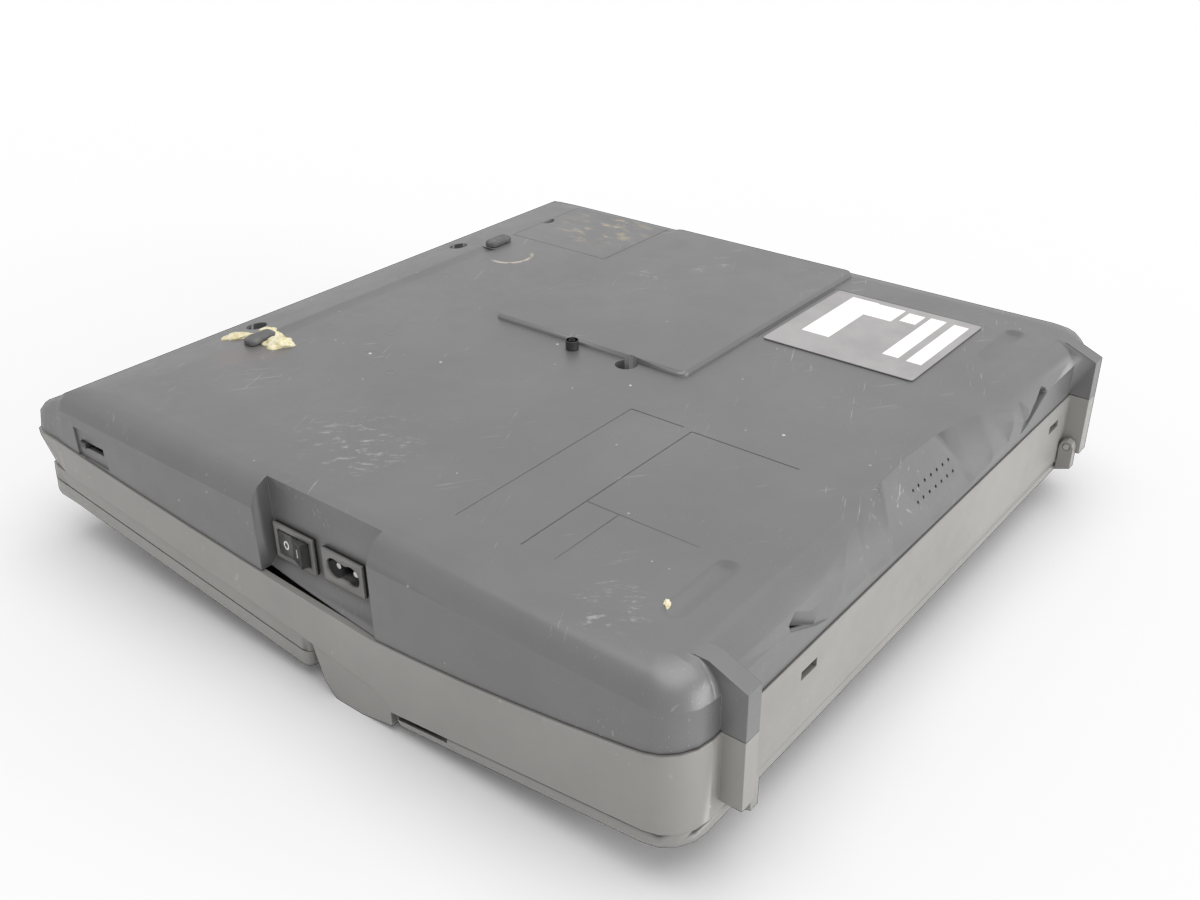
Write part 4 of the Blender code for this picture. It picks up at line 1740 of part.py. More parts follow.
def build():
    """Clear the scene and make every piece."""
    for old in list(bpy.data.objects):
        bpy.data.objects.remove(old)
    dark = material("dark_case_plastic", (0.045, 0.046, 0.050), 0.62)
    light = material("light_case_plastic", (0.44, 0.44, 0.43), 0.55)
    black = material("black_plastic", (0.02, 0.02, 0.022), 0.45)
    black_gloss = material("black_switch_plastic", (0.015, 0.015, 0.016), 0.3)
    rubber = material("foot_rubber", (0.05, 0.05, 0.05), 0.85)
    roller_rubber = material("roller_rubber", (0.03, 0.03, 0.032), 0.75)
    steel = material("bright_steel", (0.62, 0.62, 0.61), 0.28, 1.0)
    sheet = material("zinc_sheet", (0.55, 0.56, 0.56), 0.42, 1.0)
    brass = material("brass_contact", (0.72, 0.56, 0.26), 0.32, 1.0)
    board_green = material("circuit_board", (0.03, 0.17, 0.08), 0.5)
    cap = material("key_plastic", (0.36, 0.36, 0.35), 0.6)
    glass = material("screen_glass", (0.24, 0.29, 0.24), 0.12)
    paper = material("plate_film", (0.62, 0.63, 0.61), 0.5)
    wrap = material("cell_wrap", (0.32, 0.30, 0.12), 0.35)
    gear_plastic = material("gear_acetal", (0.85, 0.84, 0.80), 0.4)
    ribbon_grey = material("ribbon_cable_grey", (0.45, 0.46, 0.48), 0.55)

    make_bottom_case(dark)
    make_top_case(light)
    for name, side in SIDES:
        make_hinge_cover("hinge_cover_" + name, side, light)
    for name, side in SIDES:
        make_hinge_pin("hinge_pin_" + name, side, steel)
        make_cover_pin("cover_pin_" + name, side, steel)
        make_front_foot("front_foot_" + name, side, rubber)
        make_inlet_pin("inlet_pin_" + name, side, steel)
    make_centre_foot(black)
    make_label_plate(paper)
    for index, (x, y) in enumerate(WELLS):
        make_case_screw(f"case_screw_{index + 1}", x, y, steel)
    make_switch_body(black)
    make_switch_rocker(black_gloss)
    make_inlet_socket(black)
    make_contrast_knob(black)
    make_battery_door(dark)
    make_backup_pack(wrap)
    make_disk_drive(sheet)
    make_drive_bezel(light)
    make_drive_flap(light)
    make_eject_button(light)
    make_main_board(board_green)
    make_power_board(board_green)
    make_transformer(sheet)
    make_speaker(black)
    make_keyboard_plate(sheet)
    make_keyboard_cable(ribbon_grey)
    for row, name in enumerate(KEY_ROW_NAMES):
        make_key_row(row, name, cap)
    make_lid_back(light)
    make_lid_bezel(light)
    make_lid_latch(black)
    make_lcd_panel(glass)
    make_lcd_frame(sheet)
    make_printer_cover(light)
    make_printer_chassis(sheet)
    make_platen_shaft(steel)
    make_platen_roller(roller_rubber)
    make_platen_gear(gear_plastic)
    make_feed_pinion(brass)
    make_feed_motor(sheet)
    make_carriage_motor(sheet)
    make_pulley("drive_pulley", -PULLEY_X, gear_plastic)
    make_pulley("idler_pulley", PULLEY_X, gear_plastic)
    make_carriage_belt(roller_rubber)
    make_guide_shaft(steel)
    make_carriage(black)
    make_print_head(steel)
    make_ribbon_cassette(black)


build()
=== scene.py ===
"""Looks of a portable electronic word processor that lies upside down on its closed lid.

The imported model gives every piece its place. Here each visible moulding is smoothed
and given its engraving, blemishes and finish, the small printed and moulded details
are added, and the machine is set on a pale floor under soft light.
"""

import json
import math

import bmesh
import bpy
from bpy.props import FloatProperty, FloatVectorProperty, IntProperty, PointerProperty
from mathutils import Matrix, Vector, noise
from mathutils.bvhtree import BVHTree


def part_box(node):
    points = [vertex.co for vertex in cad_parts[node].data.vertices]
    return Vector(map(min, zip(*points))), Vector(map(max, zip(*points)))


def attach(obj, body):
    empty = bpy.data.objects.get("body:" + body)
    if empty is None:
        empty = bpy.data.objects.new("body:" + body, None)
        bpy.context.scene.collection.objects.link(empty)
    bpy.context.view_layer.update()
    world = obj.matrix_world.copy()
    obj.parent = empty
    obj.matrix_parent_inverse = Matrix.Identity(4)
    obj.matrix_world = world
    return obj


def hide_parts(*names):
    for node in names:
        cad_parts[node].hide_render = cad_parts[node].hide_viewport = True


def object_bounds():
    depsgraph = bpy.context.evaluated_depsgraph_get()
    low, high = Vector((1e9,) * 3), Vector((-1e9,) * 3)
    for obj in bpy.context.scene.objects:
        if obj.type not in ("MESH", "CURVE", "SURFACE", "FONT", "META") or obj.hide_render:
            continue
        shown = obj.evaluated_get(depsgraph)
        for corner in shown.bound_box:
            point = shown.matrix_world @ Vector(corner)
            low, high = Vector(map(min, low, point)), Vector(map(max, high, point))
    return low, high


bl_info = {
    "name": "Portable word processor",
    "version": (1, 0, 0),
    "blender": (4, 5, 0),
    "location": "3D View > Sidebar > Word processor",
    "description": "Dresses the packed word processor with its finishes and fine details",
    "category": "Object",
}

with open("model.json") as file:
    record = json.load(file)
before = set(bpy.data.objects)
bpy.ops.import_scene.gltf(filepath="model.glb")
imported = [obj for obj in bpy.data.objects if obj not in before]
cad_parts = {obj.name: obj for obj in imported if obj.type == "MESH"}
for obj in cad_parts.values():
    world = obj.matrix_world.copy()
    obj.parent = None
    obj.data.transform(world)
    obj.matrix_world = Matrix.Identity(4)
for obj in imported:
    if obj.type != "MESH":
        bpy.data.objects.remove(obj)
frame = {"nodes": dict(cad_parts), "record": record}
CAD_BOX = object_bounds()

MM = 0.001
WELD = 0.00001
FLAT_DEG = 0.4
SHARP_DEG = 38.0

UNDERSIDE_Z = 77.5 * MM
BULGE_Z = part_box("bottom_case")[1].z


class StageSettings(bpy.types.PropertyGroup):
    """Camera, floor and light."""
    camera_place: FloatVectorProperty(
        name="Camera place", description="Where the camera stands", subtype="TRANSLATION", unit="LENGTH",
        default=(0.369396, 0.305227, 0.298049))
    camera_target: FloatVectorProperty(
        name="Camera target", description="A point on the camera's axis", subtype="TRANSLATION",
        unit="LENGTH", default=(0.029473, 0.031356, 0.054232))
    camera_roll: FloatProperty(
        name="Camera roll", description="Turn of the camera about its axis", subtype="ANGLE",
        default=math.radians(-0.7075))
    focal_share: FloatProperty(
        name="Focal share", description="Focal length as a share of the picture's width", default=1.0528)
    floor_width: FloatProperty(
        name="Floor width", description="Side of the floor", unit="LENGTH", default=6.0)
    floor_colour: FloatVectorProperty(
        name="Floor colour", description="Pale floor", subtype="COLOR", default=(0.86, 0.86, 0.85))
    ambient: FloatProperty(name="Ambient", description="Light from all round", default=0.62)
    top_power: FloatProperty(name="Top light", description="Power of the large light above", default=19.0)
    side_power: FloatProperty(
        name="Side light", description="Power of the light behind the printer", default=14.0)


class CaseSettings(bpy.types.PropertyGroup):
    """Moulded plastic of the case."""
    dark: FloatVectorProperty(
        name="Dark shell", description="Colour of the bottom case", subtype="COLOR",
        default=(0.100, 0.100, 0.103))
    light: FloatVectorProperty(
        name="Light shell", description="Colour of the top case and the lid", subtype="COLOR",
        default=(0.212, 0.206, 0.196))
    grain: FloatProperty(
        name="Grain", description="Size of the fine moulded texture", unit="LENGTH", default=0.45 * MM)
    dust: FloatProperty(name="Dust", description="How much dust lies on it", subtype="FACTOR", default=0.35)
    sheen: FloatProperty(name="Sheen", description="Specular level of the polished plastic", default=1.0)


class EngravingSettings(bpy.types.PropertyGroup):
    """Engraved lines on the underside."""
    width: FloatProperty(name="Width", description="Width of a line", unit="LENGTH", default=0.55 * MM)
    depth: FloatProperty(name="Depth", description="Depth of a line", unit="LENGTH", default=0.35 * MM)


class LabelSettings(bpy.types.PropertyGroup):
    """Film plate with blank fields."""
    film: FloatVectorProperty(
        name="Film", description="Colour of the bare film", subtype="COLOR", default=(0.31, 0.30, 0.30))
    field: FloatVectorProperty(
        name="Field", description="Colour of its blank fields", subtype="COLOR", default=(0.86, 0.86, 0.85))
    field_thickness: FloatProperty(
        name="Field thickness", description="Thickness of the printed fields", unit="LENGTH",
        default=0.06 * MM)


class GlueSettings(bpy.types.PropertyGroup):
    """Old glue round a foot."""
    colour: FloatVectorProperty(
        name="Glue", description="Colour of the glue", subtype="COLOR", default=(0.74, 0.70, 0.55))
    seed: IntProperty(name="Seed", description="Shape of the lumps", default=4)


GROUPS = {
    "wp_stage": StageSettings,
    "wp_case": CaseSettings,
    "wp_engraving": EngravingSettings,
    "wp_label": LabelSettings,
    "wp_glue": GlueSettings,
}


ORIGIN = (0.0, 0.0, 0.0)
EVEN = (1.0, 1.0, 1.0)


class Field:
    """A value that varies over a surface and takes part in Python sums."""

    def __init__(self, paint, socket):
        self.paint = paint
        self.socket = socket

    def maths(self, operation, first, second=0.0):
        return self.paint.node("ShaderNodeMath", {"operation": operation}, {0: first, 1: second})

    def __add__(self, other):
        return self.maths("ADD", self, other)

    __radd__ = __add__

    def __sub__(self, other):
        return self.maths("SUBTRACT", self, other)

    def __rsub__(self, other):
        return self.maths("SUBTRACT", other, self)

    def __mul__(self, other):
        return self.maths("MULTIPLY", self, other)

    __rmul__ = __mul__

    def greater(self, other):
        """The larger of two values."""
        return self.maths("MAXIMUM", self, other)

    def lesser(self, other):
        """The smaller of two values."""
        return self.maths("MINIMUM", self, other)

    def size(self):
        """The value without its sign."""
        return self.maths("ABSOLUTE", self)

    def repeat(self, pitch):
        """How far the value lies through repeats of this pitch, from 0 to 1."""
        return self.maths("FRACT", self * (1.0 / pitch))

    def step(self, low, high):
        """A smooth rise from 0 to 1 between low and high."""
        sockets = {"Value": self, "From Min": low, "From Max": high}
        return self.paint.node("ShaderNodeMapRange", {"interpolation_type": "SMOOTHSTEP"}, sockets)


class Paint:
    """One material, built from a few plain calls."""

    def __init__(self, name, roughness=0.5, metallic=0.0, colour=(0.5, 0.5, 0.5)):
        self.material = bpy.data.materials.new(name)
        self.material.use_nodes = True
        self.tree = self.material.node_tree
        self.shader = self.tree.nodes["Principled BSDF"]
        self.set("Roughness", roughness)
        self.set("Metallic", metallic)
        self.set("Base Color", (*colour, 1.0))

    def node(self, kind, settings=None, sockets=None, output=0):
        """Add a node: its settings first, then the values or links of its sockets."""
        made = self.tree.nodes.new(kind)
        for key, value in (settings or {}).items():
            setattr(made, key, value)
        for key, value in (sockets or {}).items():
            self.feed(made.inputs[key], value)
        return Field(self, made.outputs[output])

    def feed(self, socket, value):
        if isinstance(value, Field):
            self.tree.links.new(value.socket, socket)
        else:
            socket.default_value = value

    def set(self, socket, value):
        """Give one socket of the surface shader a value or a link."""
        self.feed(self.shader.inputs[socket], value)

    def place(self, centre=ORIGIN, stretch=EVEN, turn=0.0):
        """Object coordinates, centred, turned by degrees in plan, and stretched."""
        spot = self.node("ShaderNodeTexCoord", output=3)
        moved = self.node("ShaderNodeVectorMath", {"operation": "SUBTRACT"}, {0: spot, 1: centre})
        return self.node("ShaderNodeMapping", {"vector_type": "TEXTURE"},
                         {"Vector": moved, "Rotation": (0.0, 0.0, math.radians(turn)), "Scale": stretch})

    def axes(self, centre=ORIGIN):
        """The three object coordinates as values."""
        place = self.place(centre)
        split = self.tree.nodes.new("ShaderNodeSeparateXYZ")
        self.tree.links.new(place.socket, split.inputs[0])
        return [Field(self, split.outputs[axis]) for axis in range(3)]

    def clouds(self, size, detail=4.0, rough=0.55, centre=ORIGIN, stretch=EVEN, turn=0.0):
        """Noise with features about this size in metres."""
        return self.node("ShaderNodeTexNoise", {"noise_dimensions": "3D"},
                         {"Vector": self.place(centre, stretch, turn), "Scale": 1.0 / size, "Detail": detail,
                          "Roughness": rough})

    def cells(self, size):
        """Distance to scattered points about this far apart."""
        return self.node("ShaderNodeTexVoronoi", {"feature": "F1"},
                         {"Vector": self.place(), "Scale": 1.0 / size})

    def reach(self, centre):
        """Distance from a point."""
        return self.node("ShaderNodeVectorMath", {"operation": "LENGTH"}, {0: self.place(centre)}, output=1)

    def mix(self, share, first, second):
        """Mix two colours."""
        made = self.tree.nodes.new("ShaderNodeMix")
        made.data_type = "RGBA"
        self.feed(made.inputs["Factor"], share)
        for socket, value in ((made.inputs[6], first), (made.inputs[7], second)):
            self.feed(socket, value if isinstance(value, Field) else (*value, 1.0))
        return Field(self, made.outputs[2])

    def relief(self, height, depth, round_edges=0.0):
        """Feed a bump, over edges that are rounded in shading."""
        sockets = {"Height": height, "Distance": depth, "Strength": 1.0}
        if round_edges:
            sockets["Normal"] = self.node("ShaderNodeBevel", {"samples": 6}, {"Radius": round_edges})
        self.set("Normal", self.node("ShaderNodeBump", sockets=sockets))


FINISHES = {}


def finish(name):
    """Return a finish, making it the first time."""
    if name not in FINISHES:
        FINISHES[name] = FINISH_MAKERS[name]().material
    return FINISHES[name]


def shade(colour, share, lift=0.0):
    """A colour scaled and lifted, no brighter than white."""
    return tuple(min(1.0, value * share + lift) for value in colour)


def specks(paint, size, share):
    """Small scattered specks, where share is the part of a cell that a speck fills."""
    return paint.cells(size).step(share, share * 0.5)


def scratches(paint, size, turn):
    """Thin long marks in one direction, broken up by clouds."""
    lines = paint.clouds(size, 2.0, 0.5, stretch=(24.0, 1.0, 4.0), turn=turn)
    broken = paint.clouds(34 * MM, 3.0, 0.6)
    return lines.step(0.685, 0.72) * broken.step(0.52, 0.66)


def spot(paint, centre, inner, outer):
    """A soft round mark in plan."""
    return paint.reach(centre).step(outer, inner)


DUST = (0.72, 0.72, 0.70)
LINT = (0.6, 0.6, 0.58)
# Pale colour of the scuffs, also used for the painted sheen on the worn patch by the rear corner.
SCUFF_AND_SHEEN = (0.50, 0.50, 0.49)
SCRATCH = (0.52, 0.52, 0.51)
RING = (0.55, 0.47, 0.36)
CRUST = (0.42, 0.34, 0.20)
RUST = (0.20, 0.13, 0.11)
PALE_DOT = (0.62, 0.61, 0.57)


def in_mm(*values):
    """Millimetres as metres."""
    return tuple(value * MM for value in values)


def mark(x, y, *radii, z=UNDERSIDE_Z):
    """A mark's centre and its radii, from millimetres."""
    return ((*in_mm(x, y), z), *in_mm(*radii))


UNDERSIDE_SCUFFS_AND_SHEEN = (
    mark(110, -16, 9, 32),
    mark(-81, -28, 3, 12, z=BULGE_Z),
    mark(-115, -7.5, 2, 8, z=BULGE_Z),
    mark(-102, -14, 2, 8, z=BULGE_Z),
    # Worn patch by the rear +X corner, partly a painted sheen of the rounded shoulder.
    mark(134, 118, 5, 17),
)
RING_CENTRE, RING_RADIUS = mark(-66, -101, 10.5)
BATTERY_STAIN = mark(-124, -88, 8, 34)
SINK_MARKS = (
    mark(144.5, -17.5, 3.5),
    mark(62.9, -50.2, 2.2),
    mark(55.5, -70.0, 3.2),
    mark(35.0, -78.75, 2.2),
    mark(-53.75, -106.0, 2.2),
    mark(-27.0, -107.0, 2.2),
)
PALE_DOTS = (
    mark(55.5, -70.0, 0.9),
    mark(13.75, 34.5, 0.7),
    mark(1.25, -13.75, 0.7),
    mark(-10.0, 7.5, 1.1),
    mark(12.5, 103.75, 0.8),
    mark(43.75, -40.5, 0.7),
)
BROWN_STAINS = (mark(93, -101, 6, 30), mark(35, -139, 4, 24))


def moulded(name, colour):
    """Plastic with a fine moulded texture and faint clouds."""
    case = bpy.context.scene.wp_case
    paint = Paint(name)
    haze = paint.clouds(60 * MM, 5.0, 0.6)
    smudge = paint.clouds(17 * MM, 6.0, 0.65, centre=(0.3, 0.1, 0.0))
    grain = paint.clouds(case.grain, 2.0, 0.5)
    pale = shade(colour, 1.10)
    tone = paint.mix(haze.step(0.3, 0.72), shade(colour, 0.93), pale)
    tone = paint.mix(smudge.step(0.55, 0.72) * 0.3, tone, pale)
    paint.shader.inputs["Specular IOR Level"].default_value = case.sheen
    return paint, tone, grain, smudge


def dusted(paint, tone, share, seed_shift=0.0):
    """Add fine pale specks, thicker in patches."""
    patches = paint.clouds(45 * MM, 3.0, 0.6, centre=(seed_shift, 0.0, 0.0)).step(0.44, 0.7)
    fine = specks(paint, 1.9 * MM, 0.11) * patches
    few = specks(paint, 13 * MM, 0.045)
    dust = (fine * 0.7).greater(few)
    return paint.mix(dust * share, tone, DUST)


def dark_case_finish():
    """Charcoal shell with scuffs, a worn patch by the rear +X corner that is partly a painted sheen, a ring
    stain and stains round the battery door.
    """
    case = bpy.context.scene.wp_case
    paint, tone, grain, smudge = moulded("dark_case", tuple(case.dark))
    tone = dusted(paint, tone, case.dust)
    scuff_and_sheen = None
    for centre, inner, outer in UNDERSIDE_SCUFFS_AND_SHEEN:
        one = spot(paint, centre, inner, outer)
        scuff_and_sheen = one if scuff_and_sheen is None else scuff_and_sheen.greater(one)
    wear_and_sheen_breakup = paint.clouds(2.4 * MM, 5.0, 0.7, stretch=(1.0, 2.6, 1.0), turn=35)
    scuff_and_sheen = scuff_and_sheen * wear_and_sheen_breakup.step(0.54, 0.68)
    marks = (scratches(paint, 0.9 * MM, 24) + scratches(paint, 1.1 * MM, -38)).lesser(1.0)
    # Pale scuffs; the patch by the rear corner is partly a painted sheen.
    tone = paint.mix(scuff_and_sheen * 0.42, tone, SCUFF_AND_SHEEN)
    tone = paint.mix(marks * 0.34, tone, SCRATCH)

    reach = paint.reach(RING_CENTRE)
    across, along, _ = paint.axes(RING_CENTRE)
    ring = (reach - RING_RADIUS).size().step(1.3 * MM, 0.3 * MM) * (across * 0.5 + along).step(0.0, 7 * MM)
    ring = ring * paint.clouds(4 * MM).step(0.3, 0.55)
    tone = paint.mix(ring * 0.75, tone, RING)

    streaks = paint.clouds(6 * MM, 6.0, 0.7, stretch=(1.0, 2.2, 1.0)).step(0.5, 0.66)
    tone = paint.mix(spot(paint, *BATTERY_STAIN) * streaks * 0.6, tone, CRUST)
    for centre, inner, outer in BROWN_STAINS:
        patches = paint.clouds(28 * MM, 4.0, 0.6, centre=(0.7, 0.2, 0.4)).step(0.42, 0.7)
        tone = paint.mix(spot(paint, centre, inner, outer) * patches * 0.3, tone, RUST)
    for centre, radius in PALE_DOTS:
        tone = paint.mix(spot(paint, centre, radius * 0.5, radius) * 0.85, tone, PALE_DOT)

    paint.set("Base Color", tone)
    paint.set("Roughness", 0.40 + smudge.step(0.4, 0.75) * 0.08 + scuff_and_sheen * 0.12)
    height = grain
    for centre, radius in SINK_MARKS:
        dip = spot(paint, centre, radius * 0.55, radius)
        rim = spot(paint, centre, radius, radius * 1.5)
        height = height + dip * -3.0 + rim * 1.5
    paint.relief(height, 0.045 * MM, 0.45 * MM)
    return paint


def light_case_finish():
    """Warm grey shell."""
    case = bpy.context.scene.wp_case
    paint, tone, grain, smudge = moulded("light_case", tuple(case.light))
    tone = dusted(paint, tone, case.dust * 0.7, 0.4)
    paint.set("Base Color", paint.mix(scratches(paint, 0.9 * MM, 78) * 0.25, tone, LINT))
    paint.set("Roughness", 0.40 + smudge.step(0.4, 0.75) * 0.08)
    paint.relief(grain, 0.035 * MM, 0.35 * MM)
    return paint


def plain_moulding(name, colour, roughness, depth=0.03 * MM, grain_size=0.4 * MM, round_edges=0.25 * MM):
    """A finish maker for small mouldings of one colour."""
    def make():
        paint = Paint(name, roughness)
        cloud = paint.clouds(9 * MM, 5.0, 0.6)
        tone = paint.mix(cloud.step(0.36, 0.66), shade(colour, 0.82), shade(colour, 1.2, 0.008))
        lint = specks(paint, 3.1 * MM, 0.07) * paint.clouds(14 * MM).step(0.5, 0.62)
        paint.set("Base Color", paint.mix(lint * 0.45, tone, LINT))
        paint.set("Roughness", roughness - 0.06 + cloud.step(0.3, 0.7) * 0.12)
        paint.relief(paint.clouds(grain_size, 2.0, 0.5), depth, round_edges)
        return paint
    return make


def panel_finish():
    """Grey face of the switch and the inlet, with painted shade, near black, inside their openings."""
    paint = Paint("panel_plastic", 0.46)
    face_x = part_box("inlet_socket")[1].x
    across, _, _ = paint.axes()
    outside = across.step(face_x - 1.1 * MM, face_x - 0.5 * MM)
    cloud = paint.clouds(9 * MM, 5.0, 0.6)
    tone = paint.mix(cloud.step(0.36, 0.66), (0.160, 0.156, 0.152), (0.190, 0.185, 0.179))
    # Painted shade: near black on every face behind the grey front, inside the openings.
    paint.set("Base Color", paint.mix(outside, (0.006, 0.006, 0.006), tone))
    paint.relief(paint.clouds(0.4 * MM, 2.0, 0.5), 0.03 * MM, 0.25 * MM)
    return paint


def metal(name, colour, roughness, brush=EVEN, round_edges=0.15 * MM):
    """A finish maker for metals with a drawn or rolled grain."""
    def make():
        paint = Paint(name, roughness, 1.0)
        cloud = paint.clouds(12 * MM, 5.0, 0.6)
        lines = paint.clouds(0.35 * MM, 3.0, 0.6, stretch=brush)
        share = cloud.step(0.3, 0.7) * 0.6 + lines * 0.3
        paint.set("Base Color", paint.mix(share, shade(colour, 0.78), colour))
        paint.set("Roughness", roughness - 0.08 + lines * 0.16 + cloud.step(0.5, 0.75) * 0.1)
        paint.relief(lines, 0.008 * MM, round_edges)
        return paint
    return make


def rubber_finish(name, colour, roughness):
    """A finish maker for rubber."""
    def make():
        paint = Paint(name, roughness)
        cloud = paint.clouds(5 * MM, 5.0, 0.65)
        paint.set("Base Color", paint.mix(cloud.step(0.45, 0.75) * 0.5, colour, shade(colour, 2.2, 0.02)))
        paint.set("Roughness", roughness - 0.05 + cloud * 0.1)
        paint.relief(paint.clouds(0.3 * MM, 3.0, 0.6), 0.05 * MM, 0.3 * MM)
        return paint
    return make


def board_finish():
    """Solder resist with etched tracks and tinned pads."""
    paint = Paint("circuit_board", 0.4)
    across, along, _ = paint.axes()
    sheet = paint.clouds(30 * MM)
    lanes = across.repeat(2.5 * MM)
    rows = along.repeat(2.5 * MM)
    tracks = (lanes - 0.5).size().step(0.2, 0.14) * paint.clouds(6 * MM).step(0.48, 0.52)
    cross = paint.clouds(7 * MM, centre=(0.2, 0.5, 0.0)).step(0.5, 0.54)
    cross = (rows - 0.5).size().step(0.2, 0.14) * cross
    pads = (lanes - 0.5).size().step(0.26, 0.2) * (rows - 0.5).size().step(0.26, 0.2)
    pads = pads * paint.clouds(5 * MM, centre=(0.9, 0.1, 0.0)).step(0.55, 0.58)
    tone = paint.mix(sheet.step(0.3, 0.7), (0.022, 0.13, 0.06), (0.035, 0.19, 0.085))
    tone = paint.mix((tracks + cross).lesser(1.0) * 0.7, tone, (0.08, 0.30, 0.12))
    tone = paint.mix(pads, tone, (0.62, 0.60, 0.55))
    paint.set("Base Color", tone)
    paint.set("Metallic", pads * 0.9)
    paint.relief(tracks.greater(cross).greater(pads), 0.05 * MM, 0.1 * MM)
    return paint


def screen_finish():
    """Grey-green display behind a clear front, with a faint dot grid."""
    paint = Paint("screen_glass", 0.12)
    across, along, _ = paint.axes()
    columns = across.repeat(0.9 * MM)
    rows = along.repeat(0.9 * MM)
    grid = (columns.step(0.82, 0.9)).greater(rows.step(0.82, 0.9))
    cloud = paint.clouds(80 * MM, 3.0, 0.5)
    tone = paint.mix(cloud.step(0.3, 0.7), (0.21, 0.26, 0.21), (0.27, 0.32, 0.26))
    paint.set("Base Color", paint.mix(grid * 0.25, tone, (0.15, 0.19, 0.15)))
    paint.set("Roughness", 0.1 + paint.clouds(22 * MM, 5.0, 0.6).step(0.5, 0.7) * 0.12)
    paint.shader.inputs["Coat Weight"].default_value = 0.6
    paint.shader.inputs["Coat Roughness"].default_value = 0.04
    return paint


def film_finish():
    """Bare silvery film of the plate."""
    label = bpy.context.scene.wp_label
    paint = Paint("plate_film", 0.42)
    cloud = paint.clouds(14 * MM, 5.0, 0.6)
    tone = paint.mix(cloud.step(0.3, 0.7), shade(label.film, 0.9), shade(label.film, 1.1))
    tone = paint.mix(specks(paint, 2.6 * MM, 0.09) * 0.35, tone, (0.7, 0.7, 0.68))
    paint.set("Base Color", tone)
    paint.set("Roughness", 0.36 + cloud.step(0.4, 0.7) * 0.14)
    paint.relief(paint.clouds(3 * MM, 3.0, 0.5), 0.03 * MM, 0.15 * MM)
    return paint


def field_finish():
    """White of the blank fields."""
    label = bpy.context.scene.wp_label
    paint = Paint("plate_field", 0.5)
    cloud = paint.clouds(6 * MM, 5.0, 0.65)
    tone = paint.mix(cloud.step(0.55, 0.8) * 0.35, tuple(label.field), (0.66, 0.64, 0.58))
    paint.set("Base Color", paint.mix(specks(paint, 2.2 * MM, 0.06) * 0.5, tone, (0.3, 0.3, 0.3)))
    paint.relief(cloud, 0.02 * MM)
    return paint


def glue_finish():
    """Brittle cream glue, darker in its folds."""
    glue = bpy.context.scene.wp_glue
    paint = Paint("old_glue", 0.38)
    cloud = paint.clouds(1.6 * MM, 5.0, 0.65)
    tone = paint.mix(cloud.step(0.38, 0.62), (0.60, 0.52, 0.26), tuple(glue.colour))
    folds = paint.clouds(0.8 * MM, 3.0, 0.6, centre=(0.1, 0.0, 0.0)).step(0.62, 0.72)
    tone = paint.mix(folds * 0.7, tone, (0.36, 0.27, 0.10))
    paint.set("Base Color", tone)
    paint.set("Roughness", 0.3 + cloud * 0.3)
    paint.shader.inputs["Subsurface Weight"].default_value = 0.15
    paint.shader.inputs["Subsurface Radius"].default_value = (0.002, 0.0016, 0.001)
    paint.relief(cloud, 0.3 * MM)
    return paint


def wrap_finish():
    """Shrink wrap round the cells."""
    paint = Paint("cell_wrap", 0.3)
    cloud = paint.clouds(8 * MM, 4.0, 0.6)
    paint.set("Base Color", paint.mix(cloud.step(0.3, 0.7), (0.26, 0.24, 0.08), (0.36, 0.34, 0.15)))
    paint.set("Roughness", 0.24 + cloud.step(0.4, 0.7) * 0.16)
    paint.relief(paint.clouds(2 * MM, 4.0, 0.6), 0.08 * MM, 0.2 * MM)
    return paint


def ribbon_finish():
    """Flat grey ribbon with parallel wires, lighter on their crowns, with painted shade in the valleys
    between them.
    """
    paint = Paint("ribbon_cable", 0.5)
    across, _, _ = paint.axes()
    wires = across.repeat(1.27 * MM)
    crown = 1.0 - (wires - 0.5).size() * 2.0
    # Painted shade: darker in the valleys between the wires, lighter on their crowns.
    paint.set("Base Color", paint.mix(crown.step(0.1, 0.6), (0.28, 0.29, 0.31), (0.48, 0.49, 0.51)))
    paint.relief(crown, 0.3 * MM)
    return paint


FINISH_MAKERS = {
    "dark_case": dark_case_finish,
    "light_case": light_case_finish,
    "black_plastic": plain_moulding("black_plastic", (0.026, 0.026, 0.026), 0.42),
    "panel_plastic": panel_finish,
    "switch_plastic": plain_moulding("switch_plastic", (0.045, 0.044, 0.044), 0.26, 0.006 * MM, 0.8 * MM),
    "mark_paint": plain_moulding("mark_paint", (0.72, 0.72, 0.70), 0.4, 0.01 * MM),
    # Painted shade: near black standing for the dark inside of holes and grooves.
    "dark_hole": plain_moulding("dark_hole", (0.02, 0.02, 0.02), 0.6),
    "key_plastic": plain_moulding("key_plastic", (0.26, 0.255, 0.24), 0.5),
    "gear_plastic": plain_moulding("gear_plastic", (0.80, 0.79, 0.74), 0.38, 0.01 * MM),
    "foot_rubber": rubber_finish("foot_rubber", (0.10, 0.10, 0.10), 0.78),
    "roller_rubber": rubber_finish("roller_rubber", (0.03, 0.03, 0.032), 0.7),
    "steel": metal("bright_steel", (0.66, 0.65, 0.63), 0.3, (30.0, 1.0, 1.0)),
    "sheet_metal": metal("zinc_sheet", (0.58, 0.59, 0.60), 0.42, (1.0, 14.0, 1.0)),
    "drive_metal": metal("cast_metal", (0.55, 0.56, 0.56), 0.5),
    "brass": metal("brass", (0.74, 0.57, 0.26), 0.3, (8.0, 1.0, 1.0)),
    "circuit_board": board_finish,
    "screen_glass": screen_finish,
    "plate_film": film_finish,
    "plate_field": field_finish,
    "old_glue": glue_finish,
    "cell_wrap": wrap_finish,
    "ribbon_cable": ribbon_finish,
}


def new_object(name, data):
    """Put a new object into the scene."""
    made = bpy.data.objects.new(name, data)
    bpy.context.scene.collection.objects.link(made)
    return made


def mesh_of(data, name):
    """Turn a bmesh into a mesh, and free it."""
    mesh = bpy.data.meshes.new(name)
    data.to_mesh(mesh)
    data.free()
    return mesh


